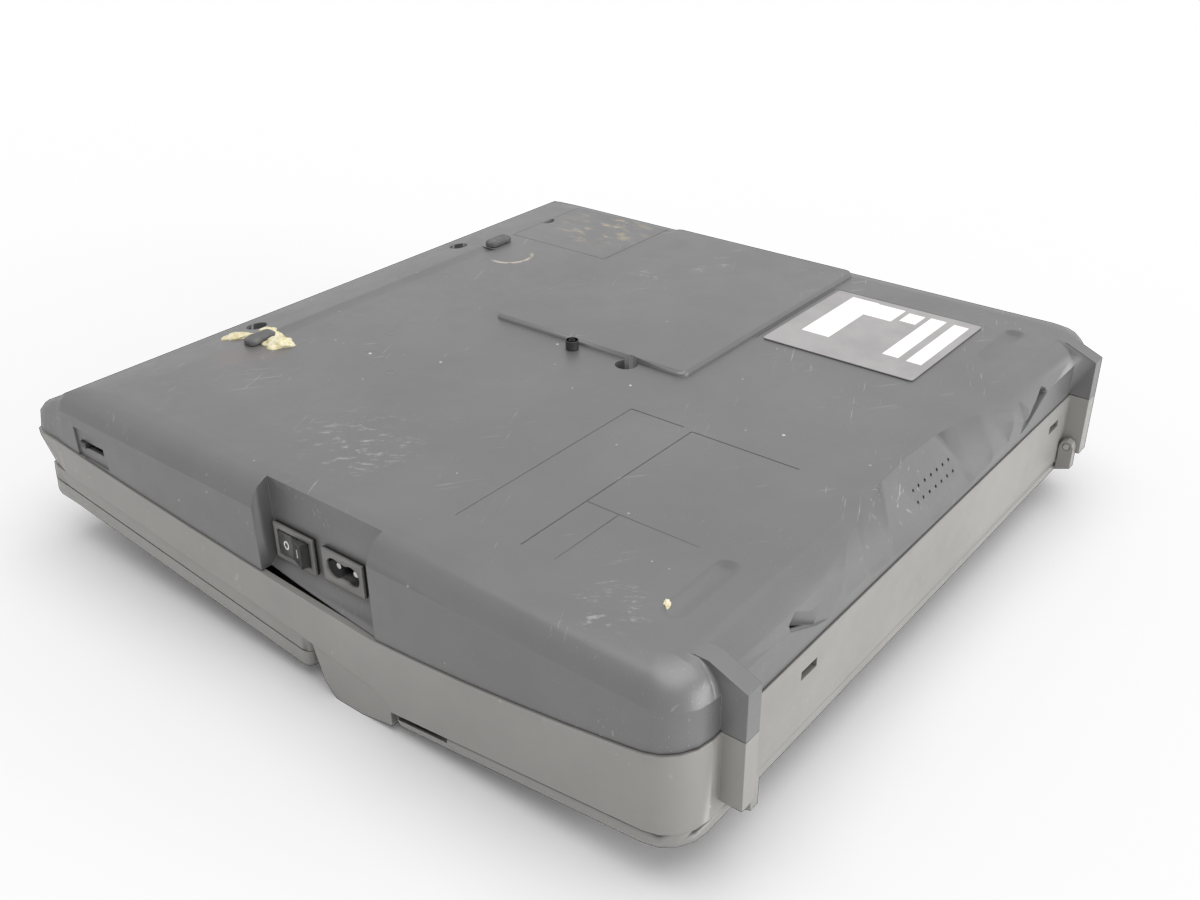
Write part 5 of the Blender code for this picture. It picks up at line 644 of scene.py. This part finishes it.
def bridge(data, loops):
    """Join loops of corners one to the next and the last to the first, into a closed ring."""
    for first, second in zip(loops, loops[1:] + loops[:1]):
        for index in range(len(first)):
            following = (index + 1) % len(first)
            data.faces.new((first[index], first[following], second[following], second[index]))


def add_piece(name, mesh, body, finish_name):
    """Put a finished mesh into the scene on the body it moves with."""
    piece = new_object(name, mesh)
    mesh.materials.clear()
    mesh.materials.append(finish(finish_name))
    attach(piece, body)
    return piece


def body_of_node(node):
    """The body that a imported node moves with."""
    for body, members in frame["record"]["behaviour"]["bodies"].items():
        if node in members:
            return body
    raise ValueError(f"{node} is on no body")


def bake_modifiers(piece):
    """Replace a piece's mesh by its evaluated one and drop its modifiers."""
    graph = bpy.context.evaluated_depsgraph_get()
    mesh = bpy.data.meshes.new_from_object(piece.evaluated_get(graph))
    piece.modifiers.clear()
    piece.data = mesh
    return mesh


def welded(node):
    """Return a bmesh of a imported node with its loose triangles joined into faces."""
    data = bmesh.new()
    data.from_mesh(frame["nodes"][node].data)
    bmesh.ops.remove_doubles(data, verts=data.verts, dist=WELD)
    bmesh.ops.dissolve_limit(data, angle_limit=math.radians(FLAT_DEG), verts=data.verts, edges=data.edges)
    return data


CORNER_RADIUS = 14 * MM
FRONT_CORNER = 3.5 * MM
CORNER_BEND = math.radians(22.5)
CREASE_Z = 67.8 * MM
CREASE_REACH = 0.05 * MM
SEAM_FRONT_Z = 53.0 * MM
NOSE_START_Y = -144.5 * MM
NOSE_RUN = 24 * MM
NOSE_DROP = 12.5 * MM
NOSE_CUTS = 6
PULL_START_Y = -148 * MM
PULL_SHARE = 1.4
FRONT_SHELLS = ("bottom_case", "top_case", "lid_back", "lid_bezel")


def squared(across, along):
    """Move a point of a round corner out to the same corner with a small radius."""
    turn = math.atan2(along, across)
    near = min(turn, math.pi / 2 - turn)
    flat = CORNER_RADIUS - FRONT_CORNER
    bend = math.atan2(flat, CORNER_RADIUS)
    if near < CORNER_BEND:
        angle = bend * near / CORNER_BEND
        reach = CORNER_RADIUS / math.cos(angle)
    else:
        angle = bend + (math.pi / 4 - bend) * (near - CORNER_BEND) / (math.pi / 4 - CORNER_BEND)
        slant = math.cos(angle) + math.sin(angle)
        reach = flat * slant + math.sqrt((flat * slant) ** 2 - 2 * flat ** 2 + FRONT_CORNER ** 2)
    if turn > math.pi / 4:
        angle = math.pi / 2 - angle
    distance = math.hypot(across, along) * reach / CORNER_RADIUS
    return distance * math.cos(angle), distance * math.sin(angle)


def nose_drop(y, z):
    """How far the rounded nose of the dark shell lies under its plain front end."""
    run_share = max(0.0, NOSE_START_Y - y) / NOSE_RUN
    height_share = min(1.0, max(0.0, z - SEAM_FRONT_Z) / (UNDERSIDE_Z - SEAM_FRONT_Z))
    return NOSE_DROP * run_share * height_share


def shape_front(data, node):
    """Give a shell its tight front corners and the dark shell its rounded nose."""
    low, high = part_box(node)
    centre = Vector((high.x - CORNER_RADIUS, low.y + CORNER_RADIUS))
    planes = [((side * centre.x, 0, 0), (1, 0, 0)) for side in (-1, 1)]
    planes.append(((0, centre.y, 0), (0, 1, 0)))
    nose = node == "bottom_case"
    if nose:
        stations = [NOSE_START_Y + (low.y - NOSE_START_Y) * step / NOSE_CUTS for step in range(NOSE_CUTS)]
        planes += [((0, y, 0), (0, 1, 0)) for y in stations]
    for place, normal in planes:
        whole = data.verts[:] + data.edges[:] + data.faces[:]
        bmesh.ops.bisect_plane(data, geom=whole, plane_co=place, plane_no=normal)
    for vertex in data.verts:
        across = abs(vertex.co.x) - centre.x
        along = centre.y - vertex.co.y
        if across > 0 and along > 0:
            across, along = squared(across, along)
            vertex.co.x = math.copysign(centre.x + across, vertex.co.x)
            vertex.co.y = centre.y - along
        if nose:
            if vertex.co.y < PULL_START_Y:
                vertex.co.y = PULL_START_Y + (vertex.co.y - PULL_START_Y) * PULL_SHARE
            vertex.co.z -= nose_drop(vertex.co.y, vertex.co.z)


def crease_shell(mesh):
    """Keep the line between the dark shell's sides and its rounded edge crisp."""
    def on_crease(vertex):
        crease_z = CREASE_Z - nose_drop(vertex.co.y, CREASE_Z)
        return abs(vertex.co.z - crease_z) < CREASE_REACH
    for edge in mesh.edges:
        if all(on_crease(mesh.vertices[index]) for index in edge.vertices):
            edge.use_edge_sharp = True


def fine_mesh(node, cutters=(), bevel=0.0, segments=2):
    """Join a node's triangles, cut details in it, round its edges and smooth its round faces."""
    data = welded(node)
    if node in FRONT_SHELLS:
        shape_front(data, node)
    helper = new_object(node + "_fine", mesh_of(data, node + "_fine"))
    for cutter in cutters:
        step = helper.modifiers.new("cut", "BOOLEAN")
        step.operation = "DIFFERENCE"
        step.solver = "EXACT"
        step.object = cutter
    if bevel:
        step = helper.modifiers.new("round", "BEVEL")
        step.width = bevel
        step.segments = segments
        step.limit_method = "ANGLE"
        step.angle_limit = math.radians(SHARP_DEG)
    mesh = bake_modifiers(helper)
    for cutter in cutters:
        bpy.data.objects.remove(cutter)
    mesh.shade_smooth()
    mesh.set_sharp_from_angle(angle=math.radians(SHARP_DEG))
    if node == "bottom_case":
        crease_shell(mesh)
    step = helper.modifiers.new("even", "WEIGHTED_NORMAL")
    step.keep_sharp = True
    mesh = bake_modifiers(helper)
    bpy.data.objects.remove(helper)
    return mesh


def dress(node, name, slot, finish_name=None, cutters=(), bevel=0.0):
    """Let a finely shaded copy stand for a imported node; its finish is its slot's, if none is named."""
    piece = add_piece(name, fine_mesh(node, cutters, bevel), body_of_node(node), finish_name or slot)
    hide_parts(node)


def dress_all(table):
    """Dress every node of a table."""
    for node, (name, slot) in table.items():
        dress(node, name, slot)


def block_mesh(name, x_range, y_range, z_range, bevel=0.0):
    """A box mesh between limits, with rounded edges."""
    data = bmesh.new()
    corners = [data.verts.new((x, y, z)) for z in z_range for y in y_range for x in x_range]
    for face in ((0, 2, 3, 1), (4, 5, 7, 6), (0, 1, 5, 4), (2, 6, 7, 3), (0, 4, 6, 2), (1, 3, 7, 5)):
        data.faces.new([corners[index] for index in face])
    bmesh.ops.recalc_face_normals(data, faces=data.faces)
    if bevel:
        bmesh.ops.bevel(data, geom=data.edges[:], offset=bevel, segments=2, profile=0.5, affect="EDGES")
    return mesh_of(data, name)


def helper_object(name, mesh):
    """A loose helper object for a cut."""
    helper = new_object(name, mesh)
    helper.hide_render = True
    return helper


DECK_LINE = (in_mm(-168.5, 38.8), in_mm(-3.0, 21.2))
COVER_LINE = (in_mm(38.7, 9.8), in_mm(160.5, 24.0))
BEZEL_LINE_DROP = 8.2 * MM
JOINT_HALF = 0.35 * MM
JOINT_DEPTH = 0.9 * MM
EDGE_DROP = 1.2 * MM
EDGE_DEPTH = 1.6 * MM
LID_MARGIN = 3 * MM
COVER_GAP = 0.6 * MM
COVER_MARGIN = 0.5 * MM
GROOVE_STEPS = 6
FAR = 100 * MM


def height_on(line, y):
    """Height of a sloped parting line."""
    (first_y, first_z), (last_y, last_z) = line
    return first_z + (last_z - first_z) * (y - first_y) / (last_y - first_y)


def rounded_loop(half_width, y_low, y_high, radius):
    """Points of a rounded rectangle in plan."""
    points = []
    for side, end, start in ((1, 1, 0), (-1, 1, 90), (-1, -1, 180), (1, -1, 270)):
        x = side * (half_width - radius)
        y = y_high - radius if end > 0 else y_low + radius
        for step in range(GROOVE_STEPS + 1):
            angle = math.radians(start + 90 * step / GROOVE_STEPS)
            points.append((x + radius * math.cos(angle), y + radius * math.sin(angle)))
    return points


def parting_groove(name, half_width, y_range, line, z_range, depth, margin):
    """A cutter that runs round a shell along its sloped parting line."""
    inner = rounded_loop(half_width - depth, y_range[0] + depth, y_range[1] - depth, FRONT_CORNER)
    outer = rounded_loop(half_width + margin, y_range[0] - margin, y_range[1] + margin, FRONT_CORNER)
    data = bmesh.new()
    low, high = z_range
    loops = [
        [data.verts.new((x, y, height_on(line, y) + shift)) for x, y in loop]
        for loop, shift in ((inner, low), (outer, low), (outer, high), (inner, high))
    ]
    bridge(data, loops)
    bmesh.ops.recalc_face_normals(data, faces=data.faces)
    return helper_object(name, mesh_of(data, name))


def surface_tree(node):
    """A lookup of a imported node's surface."""
    source = frame["nodes"][node].data
    corners = [vertex.co for vertex in source.vertices]
    return BVHTree.FromPolygons(corners, [face.vertices for face in source.polygons])


class GeometryTree:
    """A Geometry Nodes tree built from plain calls."""

    def __init__(self, name, inputs):
        self.tree = bpy.data.node_groups.new(name, "GeometryNodeTree")
        self.tree.interface.new_socket("Geometry", in_out="OUTPUT", socket_type="NodeSocketGeometry")
        self.names = {}
        for label, kind, value in inputs:
            socket = self.tree.interface.new_socket(label, in_out="INPUT", socket_type=kind)
            if value is not None:
                socket.default_value = value
            self.names[label] = socket.identifier
        self.given = self.tree.nodes.new("NodeGroupInput")
        self.result = self.tree.nodes.new("NodeGroupOutput")

    def node(self, kind, settings=None, sockets=None):
        made = self.tree.nodes.new(kind)
        for key, value in (settings or {}).items():
            setattr(made, key, value)
        for key, value in (sockets or {}).items():
            if isinstance(value, bpy.types.NodeSocket):
                self.tree.links.new(value, made.inputs[key])
            else:
                made.inputs[key].default_value = value
        return made

    def input(self, label):
        return self.given.outputs[label]

    def finish(self, geometry, surface):
        real = self.node("GeometryNodeRealizeInstances", sockets={"Geometry": geometry})
        sockets = {"Geometry": real.outputs[0], "Material": surface}
        painted = self.node("GeometryNodeSetMaterial", sockets=sockets)
        self.tree.links.new(painted.outputs[0], self.result.inputs[0])

    def mesh(self, name, values):
        """Run the tree with these inputs and return the plain mesh."""
        helper = new_object(name, bpy.data.meshes.new(name))
        step = helper.modifiers.new("shape", "NODES")
        step.node_group = self.tree
        for label, value in values.items():
            step[self.names[label]] = value
        mesh = bake_modifiers(helper)
        mesh.name = name
        bpy.data.objects.remove(helper)
        return mesh


def engraving_tree():
    """Square grooves swept along lines between two corners."""
    shape = GeometryTree("engraved_line", [
        ("Start", "NodeSocketVector", None), ("End", "NodeSocketVector", None),
        ("Width", "NodeSocketFloat", 0.5 * MM), ("Depth", "NodeSocketFloat", 0.3 * MM),
    ])
    line = shape.node("GeometryNodeCurvePrimitiveLine", sockets={
        "Start": shape.input("Start"), "End": shape.input("End")})
    double = shape.node("ShaderNodeMath", {"operation": "MULTIPLY"}, {0: shape.input("Depth"), 1: 2.0})
    profile = shape.node("GeometryNodeCurvePrimitiveQuadrilateral", sockets={
        "Width": shape.input("Width"), "Height": double.outputs[0]})
    swept = shape.node("GeometryNodeCurveToMesh", sockets={
        "Curve": line.outputs[0], "Profile Curve": profile.outputs[0], "Fill Caps": True})
    # The cutters carry the near-black painted shade of a hole.
    shape.finish(swept.outputs[0], finish("dark_hole"))
    return shape


ENGRAVED_LINES = (
    in_mm(29.5, 47.0, 125.0, 47.0),
    in_mm(29.5, 47.0, 29.5, 71.2),
    in_mm(30.7, 75.7, 125.0, 75.7),
    in_mm(30.7, 75.7, 30.7, 121.2),
    in_mm(92.0, 75.7, 92.0, 121.2),
    in_mm(92.0, 89.5, 125.0, 89.5),
    in_mm(-123.6, 48.9, -123.6, 122.4),
    in_mm(-123.6, 48.9, -55.0, 48.9),
)
SENSOR_WIDTH = 36.0
CLIP_START = 0.01
TOP_LIGHT = ((0.1, 0.25, 1.5), (0.0, 0.0, 0.0), 1.6)
SIDE_LIGHT = ((-0.15, 1.25, 0.05), (0.0, 0.15, 0.04), 0.9)


class WP_OT_stage(bpy.types.Operator):
    """Set up the floor, the light and the camera"""
    bl_idname = "word_processor.stage"
    bl_label = "Stage"

    def execute(self, context):
        stage = context.scene.wp_stage
        self.make_floor(stage)
        self.make_world(stage)
        self.make_light("top_light", *TOP_LIGHT, stage.top_power)
        self.make_light("side_light", *SIDE_LIGHT, stage.side_power)
        self.make_camera(stage)
        context.scene.view_settings.view_transform = "Standard"
        return {"FINISHED"}

    def make_floor(self, stage):
        """A pale floor that the machine stands on."""
        half = stage.floor_width / 2
        mesh = bpy.data.meshes.new("floor")
        corners = [(-half, -half, 0), (half, -half, 0), (half, half, 0), (-half, half, 0)]
        mesh.from_pydata(corners, [], [(0, 1, 2, 3)])
        floor = new_object("floor", mesh)
        paint = Paint("floor", 0.9, colour=tuple(stage.floor_colour))
        mesh.materials.append(paint.material)
        floor.is_shadow_catcher = True

    def make_world(self, stage):
        """White behind the machine and in its reflections, and softer light from all round."""
        world = bpy.data.worlds.new("studio")
        bpy.context.scene.world = world
        world.use_nodes = True
        tree = world.node_tree
        tree.nodes.clear()
        kinds = ("LightPath", "Math", "Math", "MapRange", "Background", "OutputWorld")
        rays, either, any_ray, level, back, out = [tree.nodes.new("ShaderNode" + kind) for kind in kinds]
        either.operation = any_ray.operation = "MAXIMUM"
        level.inputs["To Min"].default_value = stage.ambient
        back.inputs["Color"].default_value = (1.0, 1.0, 1.0, 1.0)
        for start, end in (
            (rays.outputs["Is Camera Ray"], either.inputs[0]),
            (rays.outputs["Is Glossy Ray"], either.inputs[1]),
            (either.outputs[0], any_ray.inputs[0]),
            (rays.outputs["Is Transmission Ray"], any_ray.inputs[1]),
            (any_ray.outputs[0], level.inputs["Value"]),
            (level.outputs[0], back.inputs["Strength"]),
            (back.outputs[0], out.inputs["Surface"]),
        ):
            tree.links.new(start, end)

    def make_light(self, name, place, target, size, power):
        """A large soft light."""
        data = bpy.data.lights.new(name, "AREA")
        data.shape = "SQUARE"
        data.size = size
        data.energy = power
        light = new_object(name, data)
        light.location = place
        light.rotation_euler = (Vector(target) - Vector(place)).to_track_quat("-Z", "Y").to_euler()

    def make_camera(self, stage):
        """A camera at the photograph's viewing angle."""
        data = bpy.data.cameras.new("camera")
        data.sensor_width = SENSOR_WIDTH
        data.lens = stage.focal_share * SENSOR_WIDTH
        data.clip_start = CLIP_START
        camera = new_object("camera", data)
        camera.location = stage.camera_place
        back = (Vector(stage.camera_place) - Vector(stage.camera_target)).normalized()
        right = Vector((0, 0, 1)).cross(back).normalized()
        up = back.cross(right)
        turn = Matrix.Rotation(stage.camera_roll, 3, back)
        basis = Matrix((turn @ right, turn @ up, turn @ back)).transposed()
        camera.rotation_euler = basis.to_euler()
        bpy.context.scene.camera = camera


class WP_OT_bottom_case(bpy.types.Operator):
    """Smooth the bottom case and engrave its lines"""
    bl_idname = "word_processor.bottom_case"
    bl_label = "Bottom case"

    def execute(self, context):
        engraving = context.scene.wp_engraving
        tree = engraving_tree()
        cutters = []
        for index, line in enumerate(ENGRAVED_LINES):
            mesh = tree.mesh(f"engraved_{index}", {
                "Start": (*line[:2], UNDERSIDE_Z), "End": (*line[2:], UNDERSIDE_Z),
                "Width": engraving.width, "Depth": engraving.depth})
            cutters.append(helper_object(mesh.name, mesh))
        dress("bottom_case", "bottom_shell", "dark_case", cutters=cutters)
        return {"FINISHED"}


class WP_OT_top_case(bpy.types.Operator):
    """Smooth the top case and the hinge covers"""
    bl_idname = "word_processor.top_case"
    bl_label = "Top case"

    def execute(self, context):
        dress("top_case", "top_shell", "light_case")
        for side in ("right", "left"):
            dress("hinge_cover_" + side, "hinge_housing_" + side, "light_case")
        return {"FINISHED"}


class WP_OT_lid(bpy.types.Operator):
    """Smooth the lid and its screen"""
    bl_idname = "word_processor.lid"
    bl_label = "Lid"

    def execute(self, context):
        shapes = {"lid_back": ("lid_shell", False), "lid_bezel": ("lid_frame", True)}
        for node, (name, under_band) in shapes.items():
            low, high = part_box(node)
            y_range = (low.y, high.y + FAR)
            joint = (-BEZEL_LINE_DROP - JOINT_HALF, -BEZEL_LINE_DROP + JOINT_HALF)
            lines = [("joint_groove", joint, JOINT_DEPTH)]
            if under_band:
                lines.append(("lid_groove", (-EDGE_DROP, LID_MARGIN), EDGE_DEPTH))
            cutters = [
                parting_groove(label, high.x, y_range, DECK_LINE, z_range, depth, LID_MARGIN)
                for label, z_range, depth in lines
            ]
            dress(node, name, "light_case", cutters=cutters)
        dress("lid_latch", "lid_catch_slider", "black_plastic", bevel=0.4 * MM)
        dress("lcd_panel", "screen", "screen_glass", bevel=0.3 * MM)
        dress("lcd_frame", "screen_surround", "sheet_metal")
        return {"FINISHED"}


class WP_OT_printer_cover(bpy.types.Operator):
    """Smooth the printer cover"""
    bl_idname = "word_processor.printer_cover"
    bl_label = "Printer cover"

    def execute(self, context):
        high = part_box("printer_cover")[1]
        y_range = (-FAR, COVER_LINE[1][0] - COVER_GAP)
        edge = (-EDGE_DROP, COVER_GAP)
        groove = parting_groove("cover_groove", high.x, y_range, COVER_LINE, edge, EDGE_DEPTH, COVER_MARGIN)
        dress("printer_cover", "printer_lid", "light_case", cutters=[groove])
        return {"FINISHED"}


PEG_BORE = 0.0011
PEG_SIDES = 40
RING_RISE = 0.1 * MM


class WP_OT_feet(bpy.types.Operator):
    """Round the rubber feet and add the ring on the centre peg"""
    bl_idname = "word_processor.feet"
    bl_label = "Feet"

    def execute(self, context):
        for side in ("right", "left"):
            dress("front_foot_" + side, "rubber_foot_" + side, "foot_rubber", bevel=0.35 * MM)
        dress("centre_foot", "peg_foot", "black_plastic")
        low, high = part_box("centre_foot")
        middle = (low + high) / 2
        data = bmesh.new()
        rim = high.x - middle.x
        rings = (
            (PEG_BORE + 0.1 * MM, high.z - RING_RISE), (PEG_BORE + 0.2 * MM, high.z),
            (rim - 0.3 * MM, high.z), (rim - 0.15 * MM, high.z - RING_RISE),
        )
        turned(data, rings, (middle.x, middle.y), PEG_SIDES)
        bmesh.ops.recalc_face_normals(data, faces=data.faces)
        add_piece("peg_ring", smooth_mesh(data, "peg_ring"), "case", "sheet_metal")
        return {"FINISHED"}


def turned(data, rings, centre, sides, stretch=1.0):
    """Turn a closed profile of (radius, height) about a vertical axis, stretched along Y."""
    loops = [[
        data.verts.new((centre[0] + radius * math.cos(math.tau * step / sides),
                        centre[1] + radius * stretch * math.sin(math.tau * step / sides), height))
        for step in range(sides)
    ] for radius, height in rings]
    bridge(data, loops)


def smooth_mesh(data, name):
    """Turn a bmesh into a mesh with smooth faces, and free it."""
    for face in data.faces:
        face.smooth = True
    return mesh_of(data, name)


GLUE_LUMPS = (
    (in_mm(77.0, -131.0), in_mm(6.4, 4.4, 1.4), 127),
    (in_mm(72.6, -107.8), in_mm(6.4, 4.8, 2.8), 127),
    (in_mm(67.0, -122.4), in_mm(4.6, 3.2, 2.2), 127),
    (in_mm(68.4, -114.6), in_mm(3.8, 2.6, 2.2), 96),
    (in_mm(121.9, 130.6), in_mm(1.6, 1.1, 0.7), 30),
)
LUMP_SCALE, LUMP_SHARE = 1.6, 0.34
FINE_SCALE, FINE_SHARE = 4.1, 0.12
GLUE_FOOT = -0.2
WELL_DEPTH = 8 * MM
CEILING_GAP = 0.1 * MM


class WP_OT_glue(bpy.types.Operator):
    """Lay old glue round the right foot"""
    bl_idname = "word_processor.glue"
    bl_label = "Glue"

    def execute(self, context):
        seed = context.scene.wp_glue.seed
        surface = surface_tree("bottom_case")
        ceiling = CAD_BOX[1][2] - CEILING_GAP
        for index, (place, size, turn) in enumerate(GLUE_LUMPS):
            data = bmesh.new()
            bmesh.ops.create_icosphere(data, subdivisions=4, radius=1.0)
            spin = Matrix.Rotation(math.radians(turn), 3, "Z")
            for vertex in data.verts:
                lump = noise.noise(vertex.co * LUMP_SCALE + Vector((seed, index, 0.0)))
                fine = noise.noise(vertex.co * FINE_SCALE + Vector((index, seed, 3.0)))
                grown = vertex.co * (1.0 + LUMP_SHARE * lump + FINE_SHARE * fine)
                local = spin @ Vector((grown.x * size[0], grown.y * size[1], 0.0))
                x = place[0] + local.x
                y = place[1] + local.y
                hit = surface.ray_cast(Vector((x, y, BULGE_Z + MM)), Vector((0.0, 0.0, -1.0)))[0]
                floor_z = hit.z if hit and hit.z > UNDERSIDE_Z - WELL_DEPTH else UNDERSIDE_Z
                height = max(grown.z, GLUE_FOOT) * size[2]
                vertex.co = (x, y, min(floor_z + height, ceiling))
            mesh = smooth_mesh(data, f"glue_lump_{index + 1}")
            add_piece(mesh.name, mesh, "case", "old_glue")
        return {"FINISHED"}


LABEL_FIELDS = (
    in_mm(-116.1, -70.5, 110.75, 117.5),
    in_mm(-116.75, -71.1, 99.75, 107.0),
    in_mm(-116.1, -106.1, 89.75, 97.25),
    in_mm(-117.4, -103.0, 74.1, 87.25),
    in_mm(-118.0, -72.4, 61.0, 74.1),
)
FIELD_BEVEL_SHARE = 0.4


class WP_OT_label(bpy.types.Operator):
    """Lay the bare film plate with its blank fields"""
    bl_idname = "word_processor.label"
    bl_label = "Label plate"

    def execute(self, context):
        thick = context.scene.wp_label.field_thickness
        dress("label_plate", "film_plate", "plate_film")
        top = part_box("label_plate")[1].z
        data = bmesh.new()
        for x_low, x_high, y_low, y_high in LABEL_FIELDS:
            part = block_mesh("field", (x_low, x_high), (y_low, y_high), (top, top + thick),
                              thick * FIELD_BEVEL_SHARE)
            data.from_mesh(part)
            bpy.data.meshes.remove(part)
        add_piece("plate_fields", mesh_of(data, "plate_fields"), "case", "plate_field")
        return {"FINISHED"}


class WP_OT_battery(bpy.types.Operator):
    """Dress the battery door and the cells under it"""
    bl_idname = "word_processor.battery"
    bl_label = "Battery compartment"

    def execute(self, context):
        dress("battery_door", "battery_lid", "dark_case")
        dress("backup_pack", "backup_cells", "cell_wrap")
        return {"FINISHED"}


MARK_INSET_SHARE = 0.27
MARK_Z = in_mm(-0.1, 0.08)
OFF_RADII = in_mm(0.85, 1.35)
OFF_STRETCH = 1.35
OFF_SIDES = 36
ON_BAR = (in_mm(-0.25, 0.25), in_mm(-1.7, 1.7))


def rocker_marks():
    """Return rings and bars for the off and on marks, laid on the rocker's faces."""
    surface = surface_tree("switch_rocker")
    low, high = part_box("switch_rocker")
    centre_z = (low.z + high.z) / 2
    marks = []
    inset = MARK_INSET_SHARE * (high.y - low.y)
    for name, y in (("off_mark", low.y + inset), ("on_mark", high.y - inset)):
        place, normal, _, _ = surface.ray_cast(Vector((high.x + MM, y, centre_z)), Vector((-1.0, 0.0, 0.0)))
        basis = normal.to_track_quat("Z", "Y").to_matrix().to_4x4()
        data = bmesh.new()
        if name == "off_mark":
            inner, outer = OFF_RADII
            rings = ((inner, MARK_Z[0]), (inner, MARK_Z[1]), (outer, MARK_Z[1]), (outer, MARK_Z[0]))
            turned(data, rings, (0.0, 0.0), OFF_SIDES, OFF_STRETCH)
        else:
            part = block_mesh("bar", *ON_BAR, MARK_Z)
            data.from_mesh(part)
            bpy.data.meshes.remove(part)
        data.transform(Matrix.Translation(place) @ basis)
        bmesh.ops.recalc_face_normals(data, faces=data.faces)
        marks.append(mesh_of(data, name))
    return marks


class WP_OT_switch(bpy.types.Operator):
    """Dress the power switch, the mains inlet and the contrast slider"""
    bl_idname = "word_processor.switch"
    bl_label = "Switch, inlet and slider"

    def execute(self, context):
        dress("switch_body", "switch_housing", "black_plastic", "panel_plastic")
        dress("switch_rocker", "power_rocker", "switch_plastic")
        for mesh in rocker_marks():
            add_piece(mesh.name, mesh, "rocker", "mark_paint")
        dress("inlet_socket", "mains_inlet", "black_plastic", "panel_plastic")
        for side in ("right", "left"):
            dress("inlet_pin_" + side, "mains_pin_" + side, "steel")
        dress("contrast_knob", "contrast_slider", "black_plastic", bevel=0.2 * MM)
        return {"FINISHED"}


class WP_OT_disk_drive(bpy.types.Operator):
    """Dress the disk drive, its bezel, flap and button"""
    bl_idname = "word_processor.disk_drive"
    bl_label = "Disk drive"

    def execute(self, context):
        dress("disk_drive", "drive_block", "drive_metal")
        for node, name, bevel in (
            ("drive_bezel", "drive_front", 0.3 * MM),
            ("drive_flap", "slot_flap", 0.2 * MM),
            ("eject_button", "eject_key", 0.3 * MM),
        ):
            dress(node, name, "light_case", bevel=bevel)
        return {"FINISHED"}


class WP_OT_keyboard(bpy.types.Operator):
    """Dress the keys and the plate that holds them"""
    bl_idname = "word_processor.keyboard"
    bl_label = "Keyboard"

    def execute(self, context):
        for row in ("space", "lower", "home", "upper", "numbers", "function"):
            dress("keys_" + row, "key_caps_" + row, "key_plastic")
        dress("keyboard_plate", "key_plate", "sheet_metal")
        dress("keyboard_cable", "key_ribbon", "ribbon_cable")
        return {"FINISHED"}


PRINTER_PIECES = {
    "printer_chassis": ("printer_frame", "sheet_metal"),
    "platen_shaft": ("roller_shaft", "steel"),
    "platen_roller": ("paper_roller", "roller_rubber"),
    "platen_gear": ("roller_gear", "gear_plastic"),
    "feed_pinion": ("motor_pinion", "brass"),
    "feed_motor": ("paper_motor", "sheet_metal"),
    "carriage_motor": ("belt_motor", "sheet_metal"),
    "drive_pulley": ("belt_wheel_left", "gear_plastic"),
    "idler_pulley": ("belt_wheel_right", "gear_plastic"),
    "carriage_belt": ("toothed_belt", "roller_rubber"),
    "guide_shaft": ("guide_rail", "steel"),
    "carriage": ("head_carriage", "black_plastic"),
    "print_head": ("thermal_head", "drive_metal"),
    "ribbon_cassette": ("ribbon_case", "black_plastic"),
}


class WP_OT_printer(bpy.types.Operator):
    """Dress the printer's mechanism"""
    bl_idname = "word_processor.printer"
    bl_label = "Printer"

    def execute(self, context):
        dress_all(PRINTER_PIECES)
        return {"FINISHED"}


INNER_PIECES = {
    "main_board": ("logic_board", "circuit_board"),
    "power_board": ("supply_board", "circuit_board"),
    "transformer": ("mains_transformer", "sheet_metal"),
    "speaker": ("sounder", "black_plastic"),
}
for number in (1, 2, 3):
    INNER_PIECES[f"case_screw_{number}"] = (f"screw_{number}", "steel")
for joint, pivot in (("hinge_pin_", "lid_pin_"), ("cover_pin_", "cover_pivot_")):
    for side in ("right", "left"):
        INNER_PIECES[joint + side] = (pivot + side, "steel")


class WP_OT_inner_parts(bpy.types.Operator):
    """Dress the boards, the screws and the pins"""
    bl_idname = "word_processor.inner_parts"
    bl_label = "Boards, screws and pins"

    def execute(self, context):
        dress_all(INNER_PIECES)
        return {"FINISHED"}


class WP_PT_panel(bpy.types.Panel):
    """Buttons and sizes for the word processor"""
    bl_idname = "WP_PT_panel"
    bl_label = "Word processor"
    bl_space_type = "VIEW_3D"
    bl_region_type = "UI"
    bl_category = "Word processor"

    def draw(self, context):
        layout = self.layout
        for operator in OPERATORS:
            layout.operator(operator.bl_idname)
        for name in GROUPS:
            group = getattr(context.scene, name)
            box = layout.box()
            for label in group.__annotations__:
                box.prop(group, label)


OPERATORS = (
    WP_OT_stage, WP_OT_bottom_case, WP_OT_top_case, WP_OT_lid, WP_OT_printer_cover, WP_OT_feet,
    WP_OT_glue, WP_OT_label, WP_OT_battery, WP_OT_switch, WP_OT_disk_drive, WP_OT_keyboard,
    WP_OT_printer, WP_OT_inner_parts,
)


def register():
    """Register the settings, the operators and the panel."""
    for name, group in GROUPS.items():
        bpy.utils.register_class(group)
        setattr(bpy.types.Scene, name, PointerProperty(type=group))
    for operator in OPERATORS:
        bpy.utils.register_class(operator)
    bpy.utils.register_class(WP_PT_panel)


def unregister():
    """Take them away again."""
    bpy.utils.unregister_class(WP_PT_panel)
    for operator in reversed(OPERATORS):
        bpy.utils.unregister_class(operator)
    for name, group in reversed(list(GROUPS.items())):
        delattr(bpy.types.Scene, name)
        bpy.utils.unregister_class(group)


def main():
    """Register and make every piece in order."""
    register()
    for operator in OPERATORS:
        family, name = operator.bl_idname.split(".")
        getattr(getattr(bpy.ops, family), name)()


if __name__ == "__main__":
    main()
